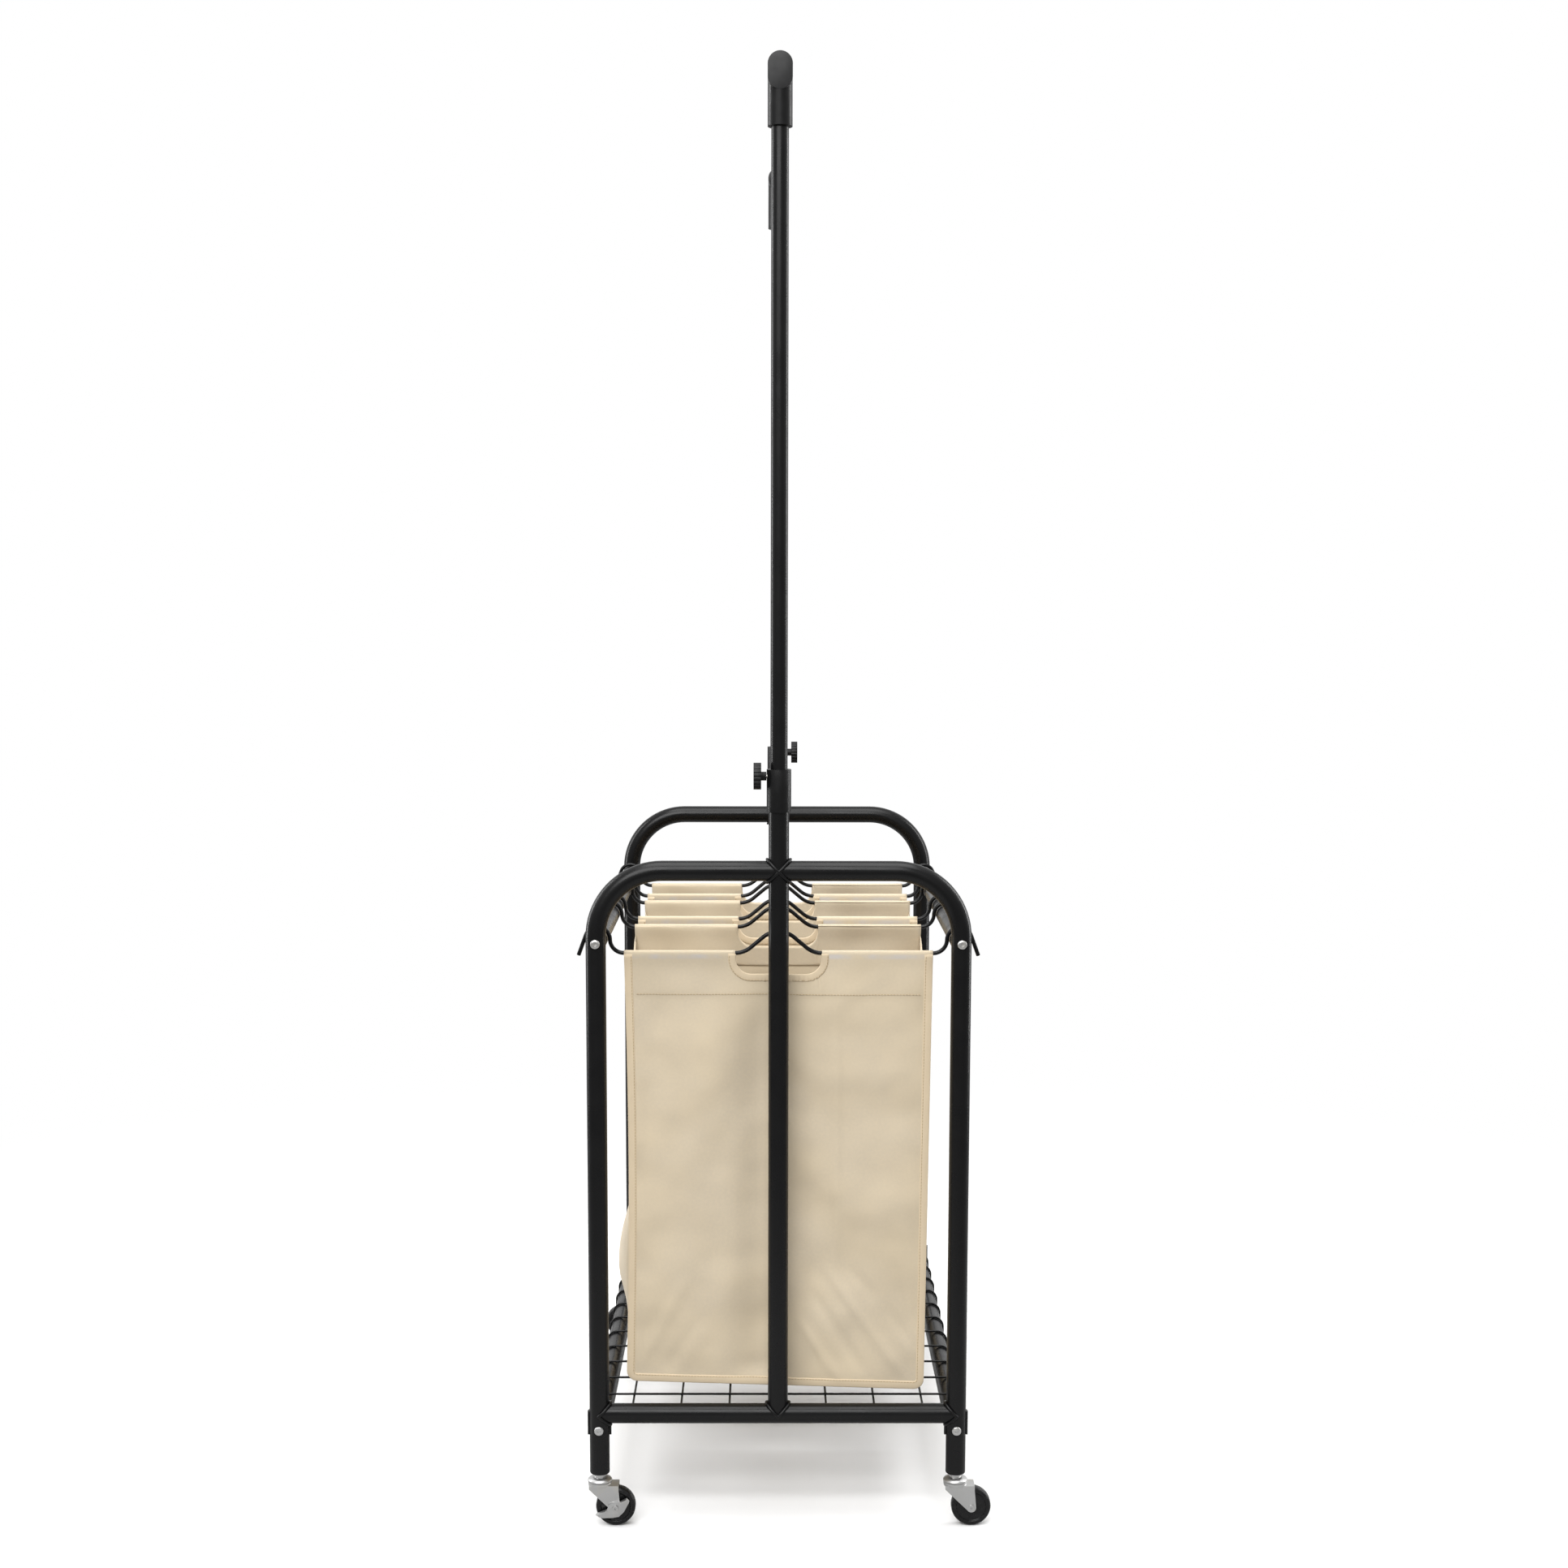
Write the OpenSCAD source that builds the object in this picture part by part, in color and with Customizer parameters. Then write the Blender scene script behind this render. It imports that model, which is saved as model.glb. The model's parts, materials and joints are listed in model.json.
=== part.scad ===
// Rolling laundry sorter: a tube frame with three hanging bags, a wire shelf, four casters
// and a height-adjustable hanging rail. Millimetres, +Z up, origin on the floor at the centre.
// X runs across the frame and Y along it; the front end frame is at -Y.

/* [Frame] */
// Distance between the leg centres across the frame
frame_w = 450; // [380:5:560]
// Distance between the leg centres along the frame
frame_l = 740; // [640:10:900]
// Height of the top of the end hoops above the floor
hoop_h = 847; // [700:1:1050]
// Outer diameter of the frame tubes
tube_d = 25; // [20:0.5:30]
// Wall thickness of the frame tubes
tube_wall = 1.2; // [0.8:0.1:2]
// Centreline radius of the bends in the end hoops
bend_r = 82; // [50:1:120]
// Distance of the upper rails' centre below the start of the hoop bends
upper_rail_drop = 7.5; // [5:0.5:40]
// Height of the lower rails' centre above the ends of the legs
lower_rail_lift = 51; // [48:1:90]
// Height of the crossbars' centre above the lower rails' centre
crossbar_lift = 19; // [5:1:60]
// Height of the centre posts' ends above the top of the hoops, at the front
post_rise = 93; // [60:1:160]
// How much lower the rear clamp collar stands than the front one
rear_collar_drop = 20; // [0:1:40]

/* [Hanging rail] */
// Height of the hanging bar's axis above the floor
bar_h = 1786; // [1450:1:1900]
// Radial gap between a telescoping pole and the bore of its centre post
pole_gap = 0.8; // [0.3:0.1:1.5]
// Wall thickness of the poles and the hanging bar
pole_wall = 1; // [0.8:0.1:2]
// Length of pole that stays inside its centre post when the rail stands at its height
pole_inside = 110; // [60:1:200]
// Outer diameter of the elbows' sockets
elbow_d = 29.5; // [27:0.5:36]
// Distance from a pole's axis to the flat end face of its elbow
elbow_face = 15; // [12:0.5:20]
// Length of the elbows' vertical sockets below the end face's capsule
elbow_socket = 40; // [25:1:60]
// Length of the elbows' horizontal sockets beyond the pole's axis
elbow_reach = 30; // [20:1:60]
// Height of the elbows' capsule-shaped end faces
elbow_face_h = 43.5; // [36:0.5:60]

/* [Clamps] */
// Wall of the clamp collars around the centre posts
collar_wall = 2.5; // [2:0.1:5]
// Height of the clamp collars
collar_h = 52; // [40:1:70]
// Length of collar above the end of the centre post
collar_cap = 19.3; // [16:0.1:30]
// Diameter of the clamp knobs
knob_d = 32.7; // [24:0.1:40]
// Thickness of the clamp knobs
knob_t = 9.3; // [6:0.1:14]
// Length of the hub between a knob and its collar
knob_hub = 6.4; // [3:0.1:12]
// Number of grip notches around a knob
knob_notches = 20; // [12:1:32]
// Diameter of the clamp screws
screw_d = 6; // [4:0.5:8]

/* [Wire shelf] */
// Diameter of the shelf wires
shelf_wire_d = 2.8; // [2:0.1:5]
// Number of wires across the shelf
cross_wires = 12; // [6:1:16]
// Distance from the leg centres to the first wire across
cross_wire_start = 20; // [16:1:60]
// Number of wires along the shelf
long_wires = 7; // [3:1:11]
// Spacing of the wires along the shelf
long_wire_pitch = 62; // [20:1:80]
// Length of the wire ends that hang down outside the lower rails
shelf_hook = 12; // [6:1:20]

/* [Bags] */
// Depth of the front bag's mouth, between its two wires
bag_1_mouth = 228; // [80:1:260]
// Depth of the middle bag's mouth
bag_2_mouth = 165; // [80:1:220]
// Depth of the rear bag's mouth
bag_3_mouth = 123; // [80:1:200]
// Distance from the front leg centres to the front bag's first wire
bag_front_gap = 30; // [24:1:60]
// Distance from the rear bag's last wire to the rear leg centres
bag_rear_gap = 40; // [24:1:60]
// Gap between the bags' bottoms and the shelf
bag_floor_gap = 30; // [10:1:120]
// Thickness of the cloth
cloth = 1; // [0.6:0.1:2]
// Outer diameter of the hems that the hanger wires run through
hem_d = 7.4; // [6.6:0.1:12]
// How far the side gussets' top edges hang below the wires
gusset_sag = 12; // [8:1:60]
// Depth of the hand holes below the wires
hole_depth = 27; // [15:1:60]
// Corner radius of the hand holes
hole_corner_r = 20; // [5:1:24]
// Diameter of the hanger wires
hanger_d = 5.2; // [4:0.1:6]
// Bend radius where a hanger wire rises to its hook
hanger_bend_r = 17; // [10:1:25]
// Half the width of the arch in the middle of a hanger
arch_half = 54; // [40:1:80]
// Height of the arch in the middle of a hanger
arch_rise = 27; // [15:1:40]
// Steepest slope of the arch
arch_angle = 40; // [33:1:60]
// Length of the straight tip of a hook
hook_tip = 27; // [10:1:40]

/* [Casters] */
// Diameter of the wheels
wheel_d = 50; // [38:1:65]
// Width of the wheels
wheel_w = 18; // [12:1:26]
// Distance of a wheel's axle from its swivel axis
trail = 20; // [12:1:28]
// Gap between a wheel and its fork
fork_gap = 1.5; // [0.8:0.1:4]
// Thickness of the fork's side plates
fork_t = 1.5; // [1:0.1:3]
// Diameter of the swivel bearings
bearing_d = 30.6; // [26:0.2:36]
// Diameter of the caster stems
stem_d = 8; // [6:1:10]
// Diameter of the wheel axles
axle_d = 5; // [4:0.5:8]

/* [Fasteners] */
// Thread diameter of the frame bolts
bolt_d = 6; // [4:0.5:7]
// Diameter of the frame bolts' heads
bolt_head_d = 11.5; // [9:0.5:14]
// Length of the frame bolts under the head
bolt_l = 46; // [38:1:60]

/* [Hidden] */
$fn = 64;

// Clearances
run_gap = 0.05;     // radial gap of a shaft that turns in its bore
slide_gap = 0.3;    // gap between pieces that slide or swing past each other
touch_gap = 0.1;    // gap between round pieces that lie on each other
cut = 1;            // how far a cutting solid reaches past the face it cuts

// Caster stack, from the floor up
axle_z = wheel_d / 2;
fork_z = wheel_d + fork_gap;
plate_t = 2;
race_h = 3;
race_split = 0.6;
cup_h = 5.5;
nut_h = 4.5;
lower_race_z = fork_z + plate_t;
upper_race_z = lower_race_z + race_h + race_split;
nut_z = upper_race_z + cup_h;
plug_z = nut_z + nut_h;
plug_dome = 8;
plug_round_r = 2.5;
leg_z = plug_z + plug_dome;
stem_in_leg = 28;
ball_r = 1.6;
ball_ring_r = 9.5;
ball_z = lower_race_z + race_h + race_split / 2;

// Heights of the frame
tube_r = tube_d / 2;
bore_r = tube_r - tube_wall;
hoop_z = hoop_h - tube_r;
upper_z = hoop_z - bend_r - upper_rail_drop;
lower_z = leg_z + lower_rail_lift;
crossbar_z = lower_z + crossbar_lift;
shelf_z = lower_z + tube_r + touch_gap + shelf_wire_d / 2;
wire_weld = 0.4;    // how deep the welded shelf wires sink into each other
wire_end_gap = 1;   // gap between the long shelf wires and the crossbars
post_top = hoop_h + post_rise;

// Places of the legs
leg_x = frame_w / 2;
leg_y = frame_l / 2;

// Hanging rail
pole_r = bore_r - pole_gap;
collar_r = tube_r + collar_wall;
collar_bore_r = pole_r + slide_gap;
elbow_z = bar_h + elbow_d / 2 - elbow_face_h - elbow_socket;
elbow_web = 14;     // plastic between the pole's end and the hanging bar
bar_overhang = 5;   // how far the hanging bar's ends reach past the poles' axes
pole_top = bar_h - pole_r - elbow_web;
pole_bottom = post_top - pole_inside;

// Clamps
screw_lift = 1.2;   // height of the clamp screws above the middle of the collars' caps
insert_wall = 1.5;
screw_cover = 2.8;  // thickness of knob in front of its screw
screw_z = post_top + collar_cap / 2 + screw_lift;
knob_x = collar_r + slide_gap + knob_hub;
insert_r = screw_d / 2 + insert_wall;
screw_in_knob = knob_t - screw_cover;

// Hangers and bags
hook_r = tube_r + slide_gap + 0.1 + hanger_d / 2;
wire_z = upper_z - hanger_bend_r;
straight_x = leg_x - hook_r - hanger_bend_r;
panel_x = straight_x - slide_gap;
gusset_x = panel_x + slide_gap;
bag_z = shelf_z + shelf_wire_d / 2 + bag_floor_gap;
arch_r = (arch_half - arch_rise / tan(arch_angle)) * sin(arch_angle) / (1 - cos(arch_angle)) / 2;
arch_slope = (arch_rise - 2 * arch_r * (1 - cos(arch_angle))) / sin(arch_angle);
hook_turn = 160;
wire_sides = 8;
bend_step = 15;
bag_space = frame_l - bag_front_gap - bag_rear_gap - bag_1_mouth - bag_2_mouth - bag_3_mouth;
bag_step = bag_space / 2;
bag_1_y = -leg_y + bag_front_gap;
bag_2_y = bag_1_y + bag_1_mouth + bag_step;
bag_3_y = bag_2_y + bag_2_mouth + bag_step;

// Bolts and their seats
seat_depth = 0.8;
seat_d = bolt_head_d + 3.5;
bolt_head_h = 2.9;
insert_start = 10;
insert_l = 18;

// Fork and brake
fork_y = wheel_w / 2 + 1;
fork_end_r = 6;
fork_end_x = trail + 4;
axle_head_r = 3.8;
axle_head_h = 1.4;
brake_t = 1.3;
brake_y = fork_y + fork_t + slide_gap;
brake_reach = brake_t + 2 * slide_gap;
brake_tab_w = 6;
brake_tab_inset = 0.5;
brake_tab_lift = 0.2;
// The lever's outline around the axle, as [x, z]: its lower foot, upper edge, upper foot, lower edge
brake_outline = [
    [-25, -8.5], [-23.5, -6.5], [-10.5, -1.5], [-8, 5], [-2, 8], [5.5, 8.5], [14.6, 13.5],
    [17.8, 10], [17, 7], [10.5, -5], [4.5, -11], [-3, -12.5], [-16, -13], [-21, -11.5]
];

// ---------- helpers ----------

// Copies children to both sides of the X = 0 plane
module both_x() {
    children();
    mirror([1, 0, 0]) children();
}

// Copies children to both ends
module both_y() {
    children();
    mirror([0, 1, 0]) children();
}

// Puts children at each of the four legs, facing out along -Y at the front and +Y at the rear
module at_legs() {
    both_y() both_x() translate([-leg_x, -leg_y, 0]) children();
}

// Cross-section of a tube, or of a solid bar where the wall is 0
module tube_section(d, wall) {
    difference() {
        circle(d = d);
        if (wall > 0) circle(d = d - 2 * wall);
    }
}

// Straight tube along +X from the origin
module straight(d, wall, length) {
    rotate([0, 90, 0]) linear_extrude(length) tube_section(d, wall);
}

// Bend that starts at the origin along +X and curves up towards +Z
module bend_up(d, wall, r, angle) {
    translate([0, 0, r]) rotate([90, 90, 0]) rotate_extrude(angle = angle)
        translate([r, 0]) tube_section(d, wall);
}

// Tube or bar bent in the XZ plane. Each step is [straight length, bend radius, bend angle];
// a positive angle curves towards the bar's own left, and the next step starts where one ends
module bent_bar(d, wall, steps, i = 0) {
    length = steps[i][0];
    r = steps[i][1];
    angle = steps[i][2];
    turn = abs(angle);
    side = angle < 0 ? 1 : 0;
    if (length > 0) straight(d, wall, length);
    translate([length, 0, 0]) {
        if (turn > 0) mirror([0, 0, side]) bend_up(d, wall, r, turn);
        if (i < len(steps) - 1)
            translate([r * sin(turn), 0, sign(angle) * r * (1 - cos(turn))])
                rotate([0, -angle, 0]) bent_bar(d, wall, steps, i + 1);
    }
}

// Cylinder along Y, centred on the origin
module y_cylinder(r, length) {
    rotate([90, 0, 0]) cylinder(r = r, h = length, center = true);
}

// Cylinder along +X from the origin
module x_cylinder(r, length) {
    rotate([0, 90, 0]) cylinder(r = r, h = length);
}

// ---------- end frames ----------

// Leg and half of a hoop at the front left, hollow or solid, from the leg's end to X = 0
module leg_and_bend(wall) {
    translate([-leg_x, -leg_y, leg_z]) rotate([0, -90, 0])
        bent_bar(tube_d, wall, [[hoop_z - bend_r - leg_z, bend_r, -90], [leg_x - bend_r, 0, 0]]);
}

// Flat seat pressed into the front of a leg for a bolt head, cut from the tube and backed by its wall
module seat_backing(z) {
    intersection() {
        translate([-leg_x, -leg_y - tube_r + seat_depth, z])
            rotate([-90, 0, 0]) cylinder(d = seat_d, h = tube_wall);
        translate([-leg_x, -leg_y, z - seat_d]) cylinder(r = tube_r, h = 2 * seat_d);
    }
}

// The pressed seat itself
module seat_cut(z) {
    translate([-leg_x, -leg_y - tube_r - cut, z])
        rotate([-90, 0, 0]) cylinder(d = seat_d, h = cut + seat_depth);
}

module bolt_hole(z) {
    translate([-leg_x, -leg_y, z]) y_cylinder(bolt_d / 2 + touch_gap, tube_d + 2 * cut);
}

module post() {
    color("#1c1c1d") difference() {
        union() {
            leg_and_bend(tube_wall);
            seat_backing(upper_z);
            seat_backing(lower_z);
        }
        for (z = [upper_z, lower_z]) {
            seat_cut(z);
            bolt_hole(z);
        }
        translate([0, -leg_y, hoop_z - tube_d]) cylinder(r = tube_r, h = 2 * tube_d);
    }
}

module front_left_post() post();
module front_right_post() mirror([1, 0, 0]) post();
module rear_left_post() mirror([0, 1, 0]) post();
module rear_right_post() mirror([1, 0, 0]) mirror([0, 1, 0]) post();

// Tube across the bottom of the front end frame, coped to the legs
module crossbar() {
    color("#1c1c1d") difference() {
        translate([-leg_x, -leg_y, crossbar_z]) straight(tube_d, tube_wall, frame_w);
        both_x() translate([-leg_x, -leg_y, crossbar_z - tube_d])
            cylinder(r = tube_r, h = 2 * tube_d);
    }
}

module front_crossbar() crossbar();
module rear_crossbar() mirror([0, 1, 0]) crossbar();

// Tube up the middle of the front end frame, coped to the crossbar
module centre_post(top) {
    color("#1c1c1d") difference() {
        translate([0, -leg_y, crossbar_z])
            linear_extrude(top - crossbar_z) tube_section(tube_d, tube_wall);
        translate([-tube_d, -leg_y, crossbar_z]) x_cylinder(tube_r, 2 * tube_d);
    }
}

module front_centre_post() centre_post(post_top);
module rear_centre_post() mirror([0, 1, 0]) centre_post(post_top - rear_collar_drop);

// ---------- rails ----------

// Side rail on the left, coped to the legs at both ends
module rail(z) {
    difference() {
        translate([-leg_x, -leg_y, z]) rotate([-90, 0, 0])
            linear_extrude(frame_l) tube_section(tube_d, tube_wall);
        both_y() leg_and_bend(0);
    }
}

// Half sleeve that saddles the inner side of the front left leg at the end of a lower rail
module saddle() {
    saddle_t = 2.5;
    saddle_h = 30;
    saddle_lift = 7;
    translate([-leg_x, -leg_y, lower_z + saddle_lift - saddle_h / 2]) intersection() {
        linear_extrude(saddle_h) tube_section(tube_d + 2 * saddle_t, saddle_t);
        translate([-tube_d, -saddle_t, 0]) cube([2 * tube_d, 2 * tube_d, saddle_h]);
    }
}

module lower_rail() {
    color("#1c1c1d") difference() {
        union() {
            rail(lower_z);
            both_y() saddle();
        }
        translate([-leg_x, 0, lower_z]) y_cylinder(bore_r, frame_l - tube_d + 2 * cut);
        both_y() translate([-leg_x, -leg_y, crossbar_z]) x_cylinder(tube_r, frame_w);
    }
}

module left_upper_rail() color("#1c1c1d") rail(upper_z);
module right_upper_rail() mirror([1, 0, 0]) left_upper_rail();
module left_lower_rail() lower_rail();
module right_lower_rail() mirror([1, 0, 0]) lower_rail();

// ---------- shelf ----------

// Wire across the shelf, its ends bent down over the lower rails
module cross_wire() {
    wrap_r = shelf_z - lower_z;
    both_x() translate([0, 0, shelf_z])
        bent_bar(shelf_wire_d, 0, [[leg_x, wrap_r, -90], [shelf_hook, 0, 0]]);
}

module wire_shelf() {
    span = frame_l - 2 * cross_wire_start;
    long_z = shelf_z - shelf_wire_d + wire_weld;
    long_l = frame_l - tube_d - 2 * wire_end_gap;
    color("#202021") {
        for (i = [0 : cross_wires - 1])
            translate([0, -span / 2 + i * span / (cross_wires - 1), 0]) cross_wire();
        for (i = [0 : long_wires - 1])
            translate([(i - (long_wires - 1) / 2) * long_wire_pitch, 0, long_z])
                y_cylinder(shelf_wire_d / 2, long_l);
    }
}

// ---------- fasteners and plugs ----------

// Pan-head bolt along +Y with its seat at the origin and a cross recess in the head
module bolt() {
    recess_w = 1.3;
    recess_l = 5.6;
    recess_depth = 1.4;
    edge = 0.9;
    rotate([-90, 0, 0]) cylinder(d = bolt_d, h = bolt_l);
    difference() {
        rotate([90, 0, 0]) rotate_extrude() polygon([
            [0, 0], [bolt_head_d / 2, 0], [bolt_head_d / 2, bolt_head_h - 1.6 * edge],
            [bolt_head_d / 2 - 0.5 * edge, bolt_head_h - 0.7 * edge],
            [bolt_head_d / 2 - 1.8 * edge, bolt_head_h], [0, bolt_head_h]
        ]);
        for (turn = [0, 90])
            rotate([0, turn, 0]) translate([-recess_l / 2, -bolt_head_h - cut, -recess_w / 2])
                cube([recess_l, recess_depth + cut, recess_w]);
    }
}

module frame_bolts() {
    color("#c4c6c8") for (z = [upper_z, lower_z])
        at_legs() translate([0, -tube_r + seat_depth, z]) bolt();
}

// Threaded plugs inside the rails' ends
module rail_inserts() {
    color("#8d8f92") for (z = [upper_z, lower_z])
        at_legs() translate([0, tube_r + insert_start, z]) rotate([-90, 0, 0]) difference() {
            cylinder(r = bore_r - run_gap, h = insert_l);
            translate([0, 0, -cut]) cylinder(r = bolt_d / 2 + run_gap, h = insert_l + 2 * cut);
        }
}

// Rounded plastic plug in a leg's end, with the socket for the caster stem
module leg_plug() {
    plug_depth = 34;
    flat_r = tube_r - plug_round_r;
    difference() {
        union() {
            translate([0, 0, leg_z]) cylinder(r = bore_r - run_gap, h = plug_depth);
            translate([0, 0, plug_z]) rotate_extrude() {
                square([flat_r, plug_dome]);
                translate([0, plug_round_r]) square([tube_r, plug_dome - plug_round_r]);
                intersection() {
                    translate([flat_r, plug_round_r]) circle(r = plug_round_r);
                    square([tube_r, plug_round_r]);
                }
            }
        }
        translate([0, 0, plug_z - cut]) cylinder(r = stem_d / 2 + run_gap, h = plug_depth + plug_dome);
    }
}

module leg_plugs() color("#191919") at_legs() leg_plug();

// ---------- clamps ----------

// Plastic collar on the end of the front centre post, guiding the pole
module collar(top) {
    color("#161616") translate([0, -leg_y, 0]) difference() {
        translate([0, 0, top + collar_cap - collar_h]) cylinder(r = collar_r, h = collar_h);
        translate([0, 0, top + collar_cap - collar_h - cut])
            cylinder(r = tube_r + run_gap, h = collar_h - collar_cap + cut);
        cylinder(r = collar_bore_r, h = top + collar_cap + cut);
        translate([-collar_r - cut, 0, top - post_top + screw_z])
            x_cylinder(insert_r + run_gap, collar_r);
    }
}

module front_collar() collar(post_top);
module rear_collar() rotate([0, 0, 180]) collar(post_top - rear_collar_drop);

// Metal bush in the collar that the clamp screw turns in
module clamp_insert() {
    recess = 0.9;
    lip = 0.4;
    insert_out = collar_r - recess;
    insert_in = collar_bore_r + lip;
    translate([-insert_out, -leg_y, screw_z]) difference() {
        x_cylinder(insert_r, insert_out - insert_in);
        translate([-cut, 0, 0]) x_cylinder(screw_d / 2 + run_gap, collar_r);
    }
}

module clamp_inserts() {
    color("#b08d4c") {
        clamp_insert();
        rotate([0, 0, 180]) translate([0, 0, -rear_collar_drop]) clamp_insert();
    }
}

// Clamp screw from inside its knob to just short of the pole
module clamp_screw() {
    screw_l = knob_x + screw_in_knob - pole_r - slide_gap;
    color("#b9bbbd") translate([-pole_r - slide_gap - screw_l, -leg_y, screw_z])
        x_cylinder(screw_d / 2, screw_l);
}

module front_clamp_screw() clamp_screw();
module rear_clamp_screw() rotate([0, 0, 180]) translate([0, 0, -rear_collar_drop]) clamp_screw();

// Notched knob with a hub, its blind bore around the clamp screw
module knob() {
    notch_r = 1.5;
    notch_depth = 0.8;
    hub_r = 5.4;
    face_r = knob_d / 2 - 4;
    dish = 1.2;
    color("#131313") translate([-knob_x, -leg_y, screw_z]) difference() {
        union() {
            rotate([0, -90, 0]) linear_extrude(knob_t) difference() {
                circle(d = knob_d);
                for (i = [0 : knob_notches - 1])
                    rotate([0, 0, i * 360 / knob_notches])
                        translate([knob_d / 2 + notch_r - notch_depth, 0])
                            circle(r = notch_r, $fn = 24);
            }
            x_cylinder(hub_r, knob_hub);
        }
        translate([-knob_t - cut, 0, 0]) x_cylinder(face_r, dish + cut);
        translate([-screw_in_knob - slide_gap, 0, 0])
            x_cylinder(screw_d / 2 + run_gap, knob_t + knob_hub);
    }
}

module front_knob() knob();
module rear_knob() rotate([0, 0, 180]) translate([0, 0, -rear_collar_drop]) knob();

// ---------- hanging rail ----------

module pole() {
    color("#1c1c1d") translate([0, -leg_y, pole_bottom])
        linear_extrude(pole_top - pole_bottom) tube_section(2 * pole_r, pole_wall);
}

module front_pole() pole();
module rear_pole() mirror([0, 1, 0]) pole();

module hanging_bar() {
    bar_l = frame_l + 2 * bar_overhang;
    color("#1c1c1d") translate([0, -bar_l / 2, bar_h]) rotate([-90, 0, 0])
        linear_extrude(bar_l) tube_section(2 * pole_r, pole_wall);
}

// Corner fitting with a socket for the pole, one for the bar and a flat capsule-shaped end face
module elbow() {
    r = elbow_d / 2;
    face_bottom = bar_h + r - elbow_face_h;
    color("#141414") translate([0, -leg_y, 0]) difference() {
        union() {
            translate([0, 0, elbow_z]) cylinder(r = r, h = bar_h - elbow_z);
            translate([0, -elbow_face, bar_h]) rotate([-90, 0, 0])
                cylinder(r = r, h = elbow_face + elbow_reach);
            translate([0, -elbow_face, face_bottom + r]) rotate([-90, 0, 0])
                cylinder(r = r, h = elbow_face);
            translate([-r, -elbow_face, face_bottom + r])
                cube([elbow_d, elbow_face, bar_h - face_bottom - r]);
        }
        translate([0, 0, elbow_z - cut])
            cylinder(r = pole_r + run_gap, h = pole_top - elbow_z + cut + run_gap);
        translate([0, -bar_overhang - run_gap, bar_h]) rotate([-90, 0, 0])
            cylinder(r = pole_r + run_gap, h = elbow_reach + bar_overhang + run_gap + cut);
    }
}

module front_elbow() elbow();
module rear_elbow() mirror([0, 1, 0]) elbow();

// ---------- casters ----------

// Places a caster, trailing along +X at the front and along -X at the rear
module caster_at(x_side, y_side) {
    translate([x_side * leg_x, y_side * leg_y, 0]) rotate([0, 0, y_side < 0 ? 0 : 180]) children();
}

module ball_groove() {
    translate([0, 0, ball_z]) rotate_extrude() translate([ball_ring_r, 0])
        circle(r = ball_r + run_gap, $fn = 48);
}

// Stem with the upper bearing cup, riveted under the fork's plate
module stem() {
    rivet_r = stem_d / 2 + 2.4;
    rivet_h = 2.4;
    rivet_z = fork_z - slide_gap - rivet_h;
    r = bearing_d / 2;
    color("#c2c4c6") {
        translate([0, 0, rivet_z]) cylinder(r = rivet_r, h = rivet_h);
        translate([0, 0, rivet_z]) cylinder(d = stem_d, h = leg_z + stem_in_leg - rivet_z);
        difference() {
            translate([0, 0, upper_race_z]) rotate_extrude() polygon([
                [0, 0], [r, 0], [r, cup_h * 0.35], [r - 1.2, cup_h * 0.6],
                [r - 4.3, cup_h * 0.78], [r - 6.3, cup_h], [0, cup_h]
            ]);
            ball_groove();
        }
    }
}

module front_left_stem() caster_at(-1, -1) stem();
module front_right_stem() caster_at(1, -1) stem();
module rear_left_stem() caster_at(-1, 1) stem();
module rear_right_stem() caster_at(1, 1) stem();

// Hexagon nuts between the bearing cups and the leg plugs
module stem_nuts() {
    nut_across_corners = 17;
    color("#cfd0d0") at_legs() translate([0, 0, nut_z]) difference() {
        cylinder(d = nut_across_corners, h = nut_h, $fn = 6);
        translate([0, 0, -cut]) cylinder(r = stem_d / 2 + run_gap, h = nut_h + 2 * cut);
    }
}

module swivel_balls() {
    balls = 14;
    color("#d8d8d8") at_legs() for (i = [0 : balls - 1])
        rotate([0, 0, i * 360 / balls]) translate([ball_ring_r, 0, ball_z]) sphere(r = ball_r);
}

// Side plate's outline in the XZ plane, with a round end around the axle
module fork_side() {
    back_x = 2 - bearing_d / 2;
    back_skirt = 2.5;
    front_skirt = 4;
    polygon([
        [back_x, fork_z + plate_t], [fork_end_x, fork_z + plate_t], [fork_end_x, fork_z - front_skirt],
        [trail + fork_end_r, axle_z + 1], [trail - fork_end_r + 1.6, axle_z - 4],
        [back_x, fork_z - back_skirt]
    ]);
    translate([trail, axle_z]) circle(r = fork_end_r);
}

// Stamped fork: top plate with the lower bearing race, and two side plates down to the axle
module fork() {
    r = bearing_d / 2;
    side_y = fork_y + fork_t;
    color("#c6c8c9") difference() {
        union() {
            translate([0, 0, fork_z]) linear_extrude(plate_t) {
                circle(r = r - 0.8);
                translate([0, -side_y]) square([fork_end_x, 2 * side_y]);
            }
            translate([0, 0, lower_race_z]) cylinder(r = r - 0.4, h = race_h);
            both_y() translate([0, -fork_y, 0]) rotate([90, 0, 0]) linear_extrude(fork_t) fork_side();
        }
        ball_groove();
        translate([0, 0, fork_z - cut]) cylinder(r = stem_d / 2 + run_gap, h = plate_t + race_h + 2 * cut);
        translate([trail, 0, axle_z]) y_cylinder(axle_d / 2, 2 * side_y + 2 * cut);
    }
}

module front_left_fork() caster_at(-1, -1) fork();
module front_right_fork() caster_at(1, -1) fork();
module rear_left_fork() caster_at(-1, 1) fork();
module rear_right_fork() caster_at(1, 1) fork();

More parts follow.
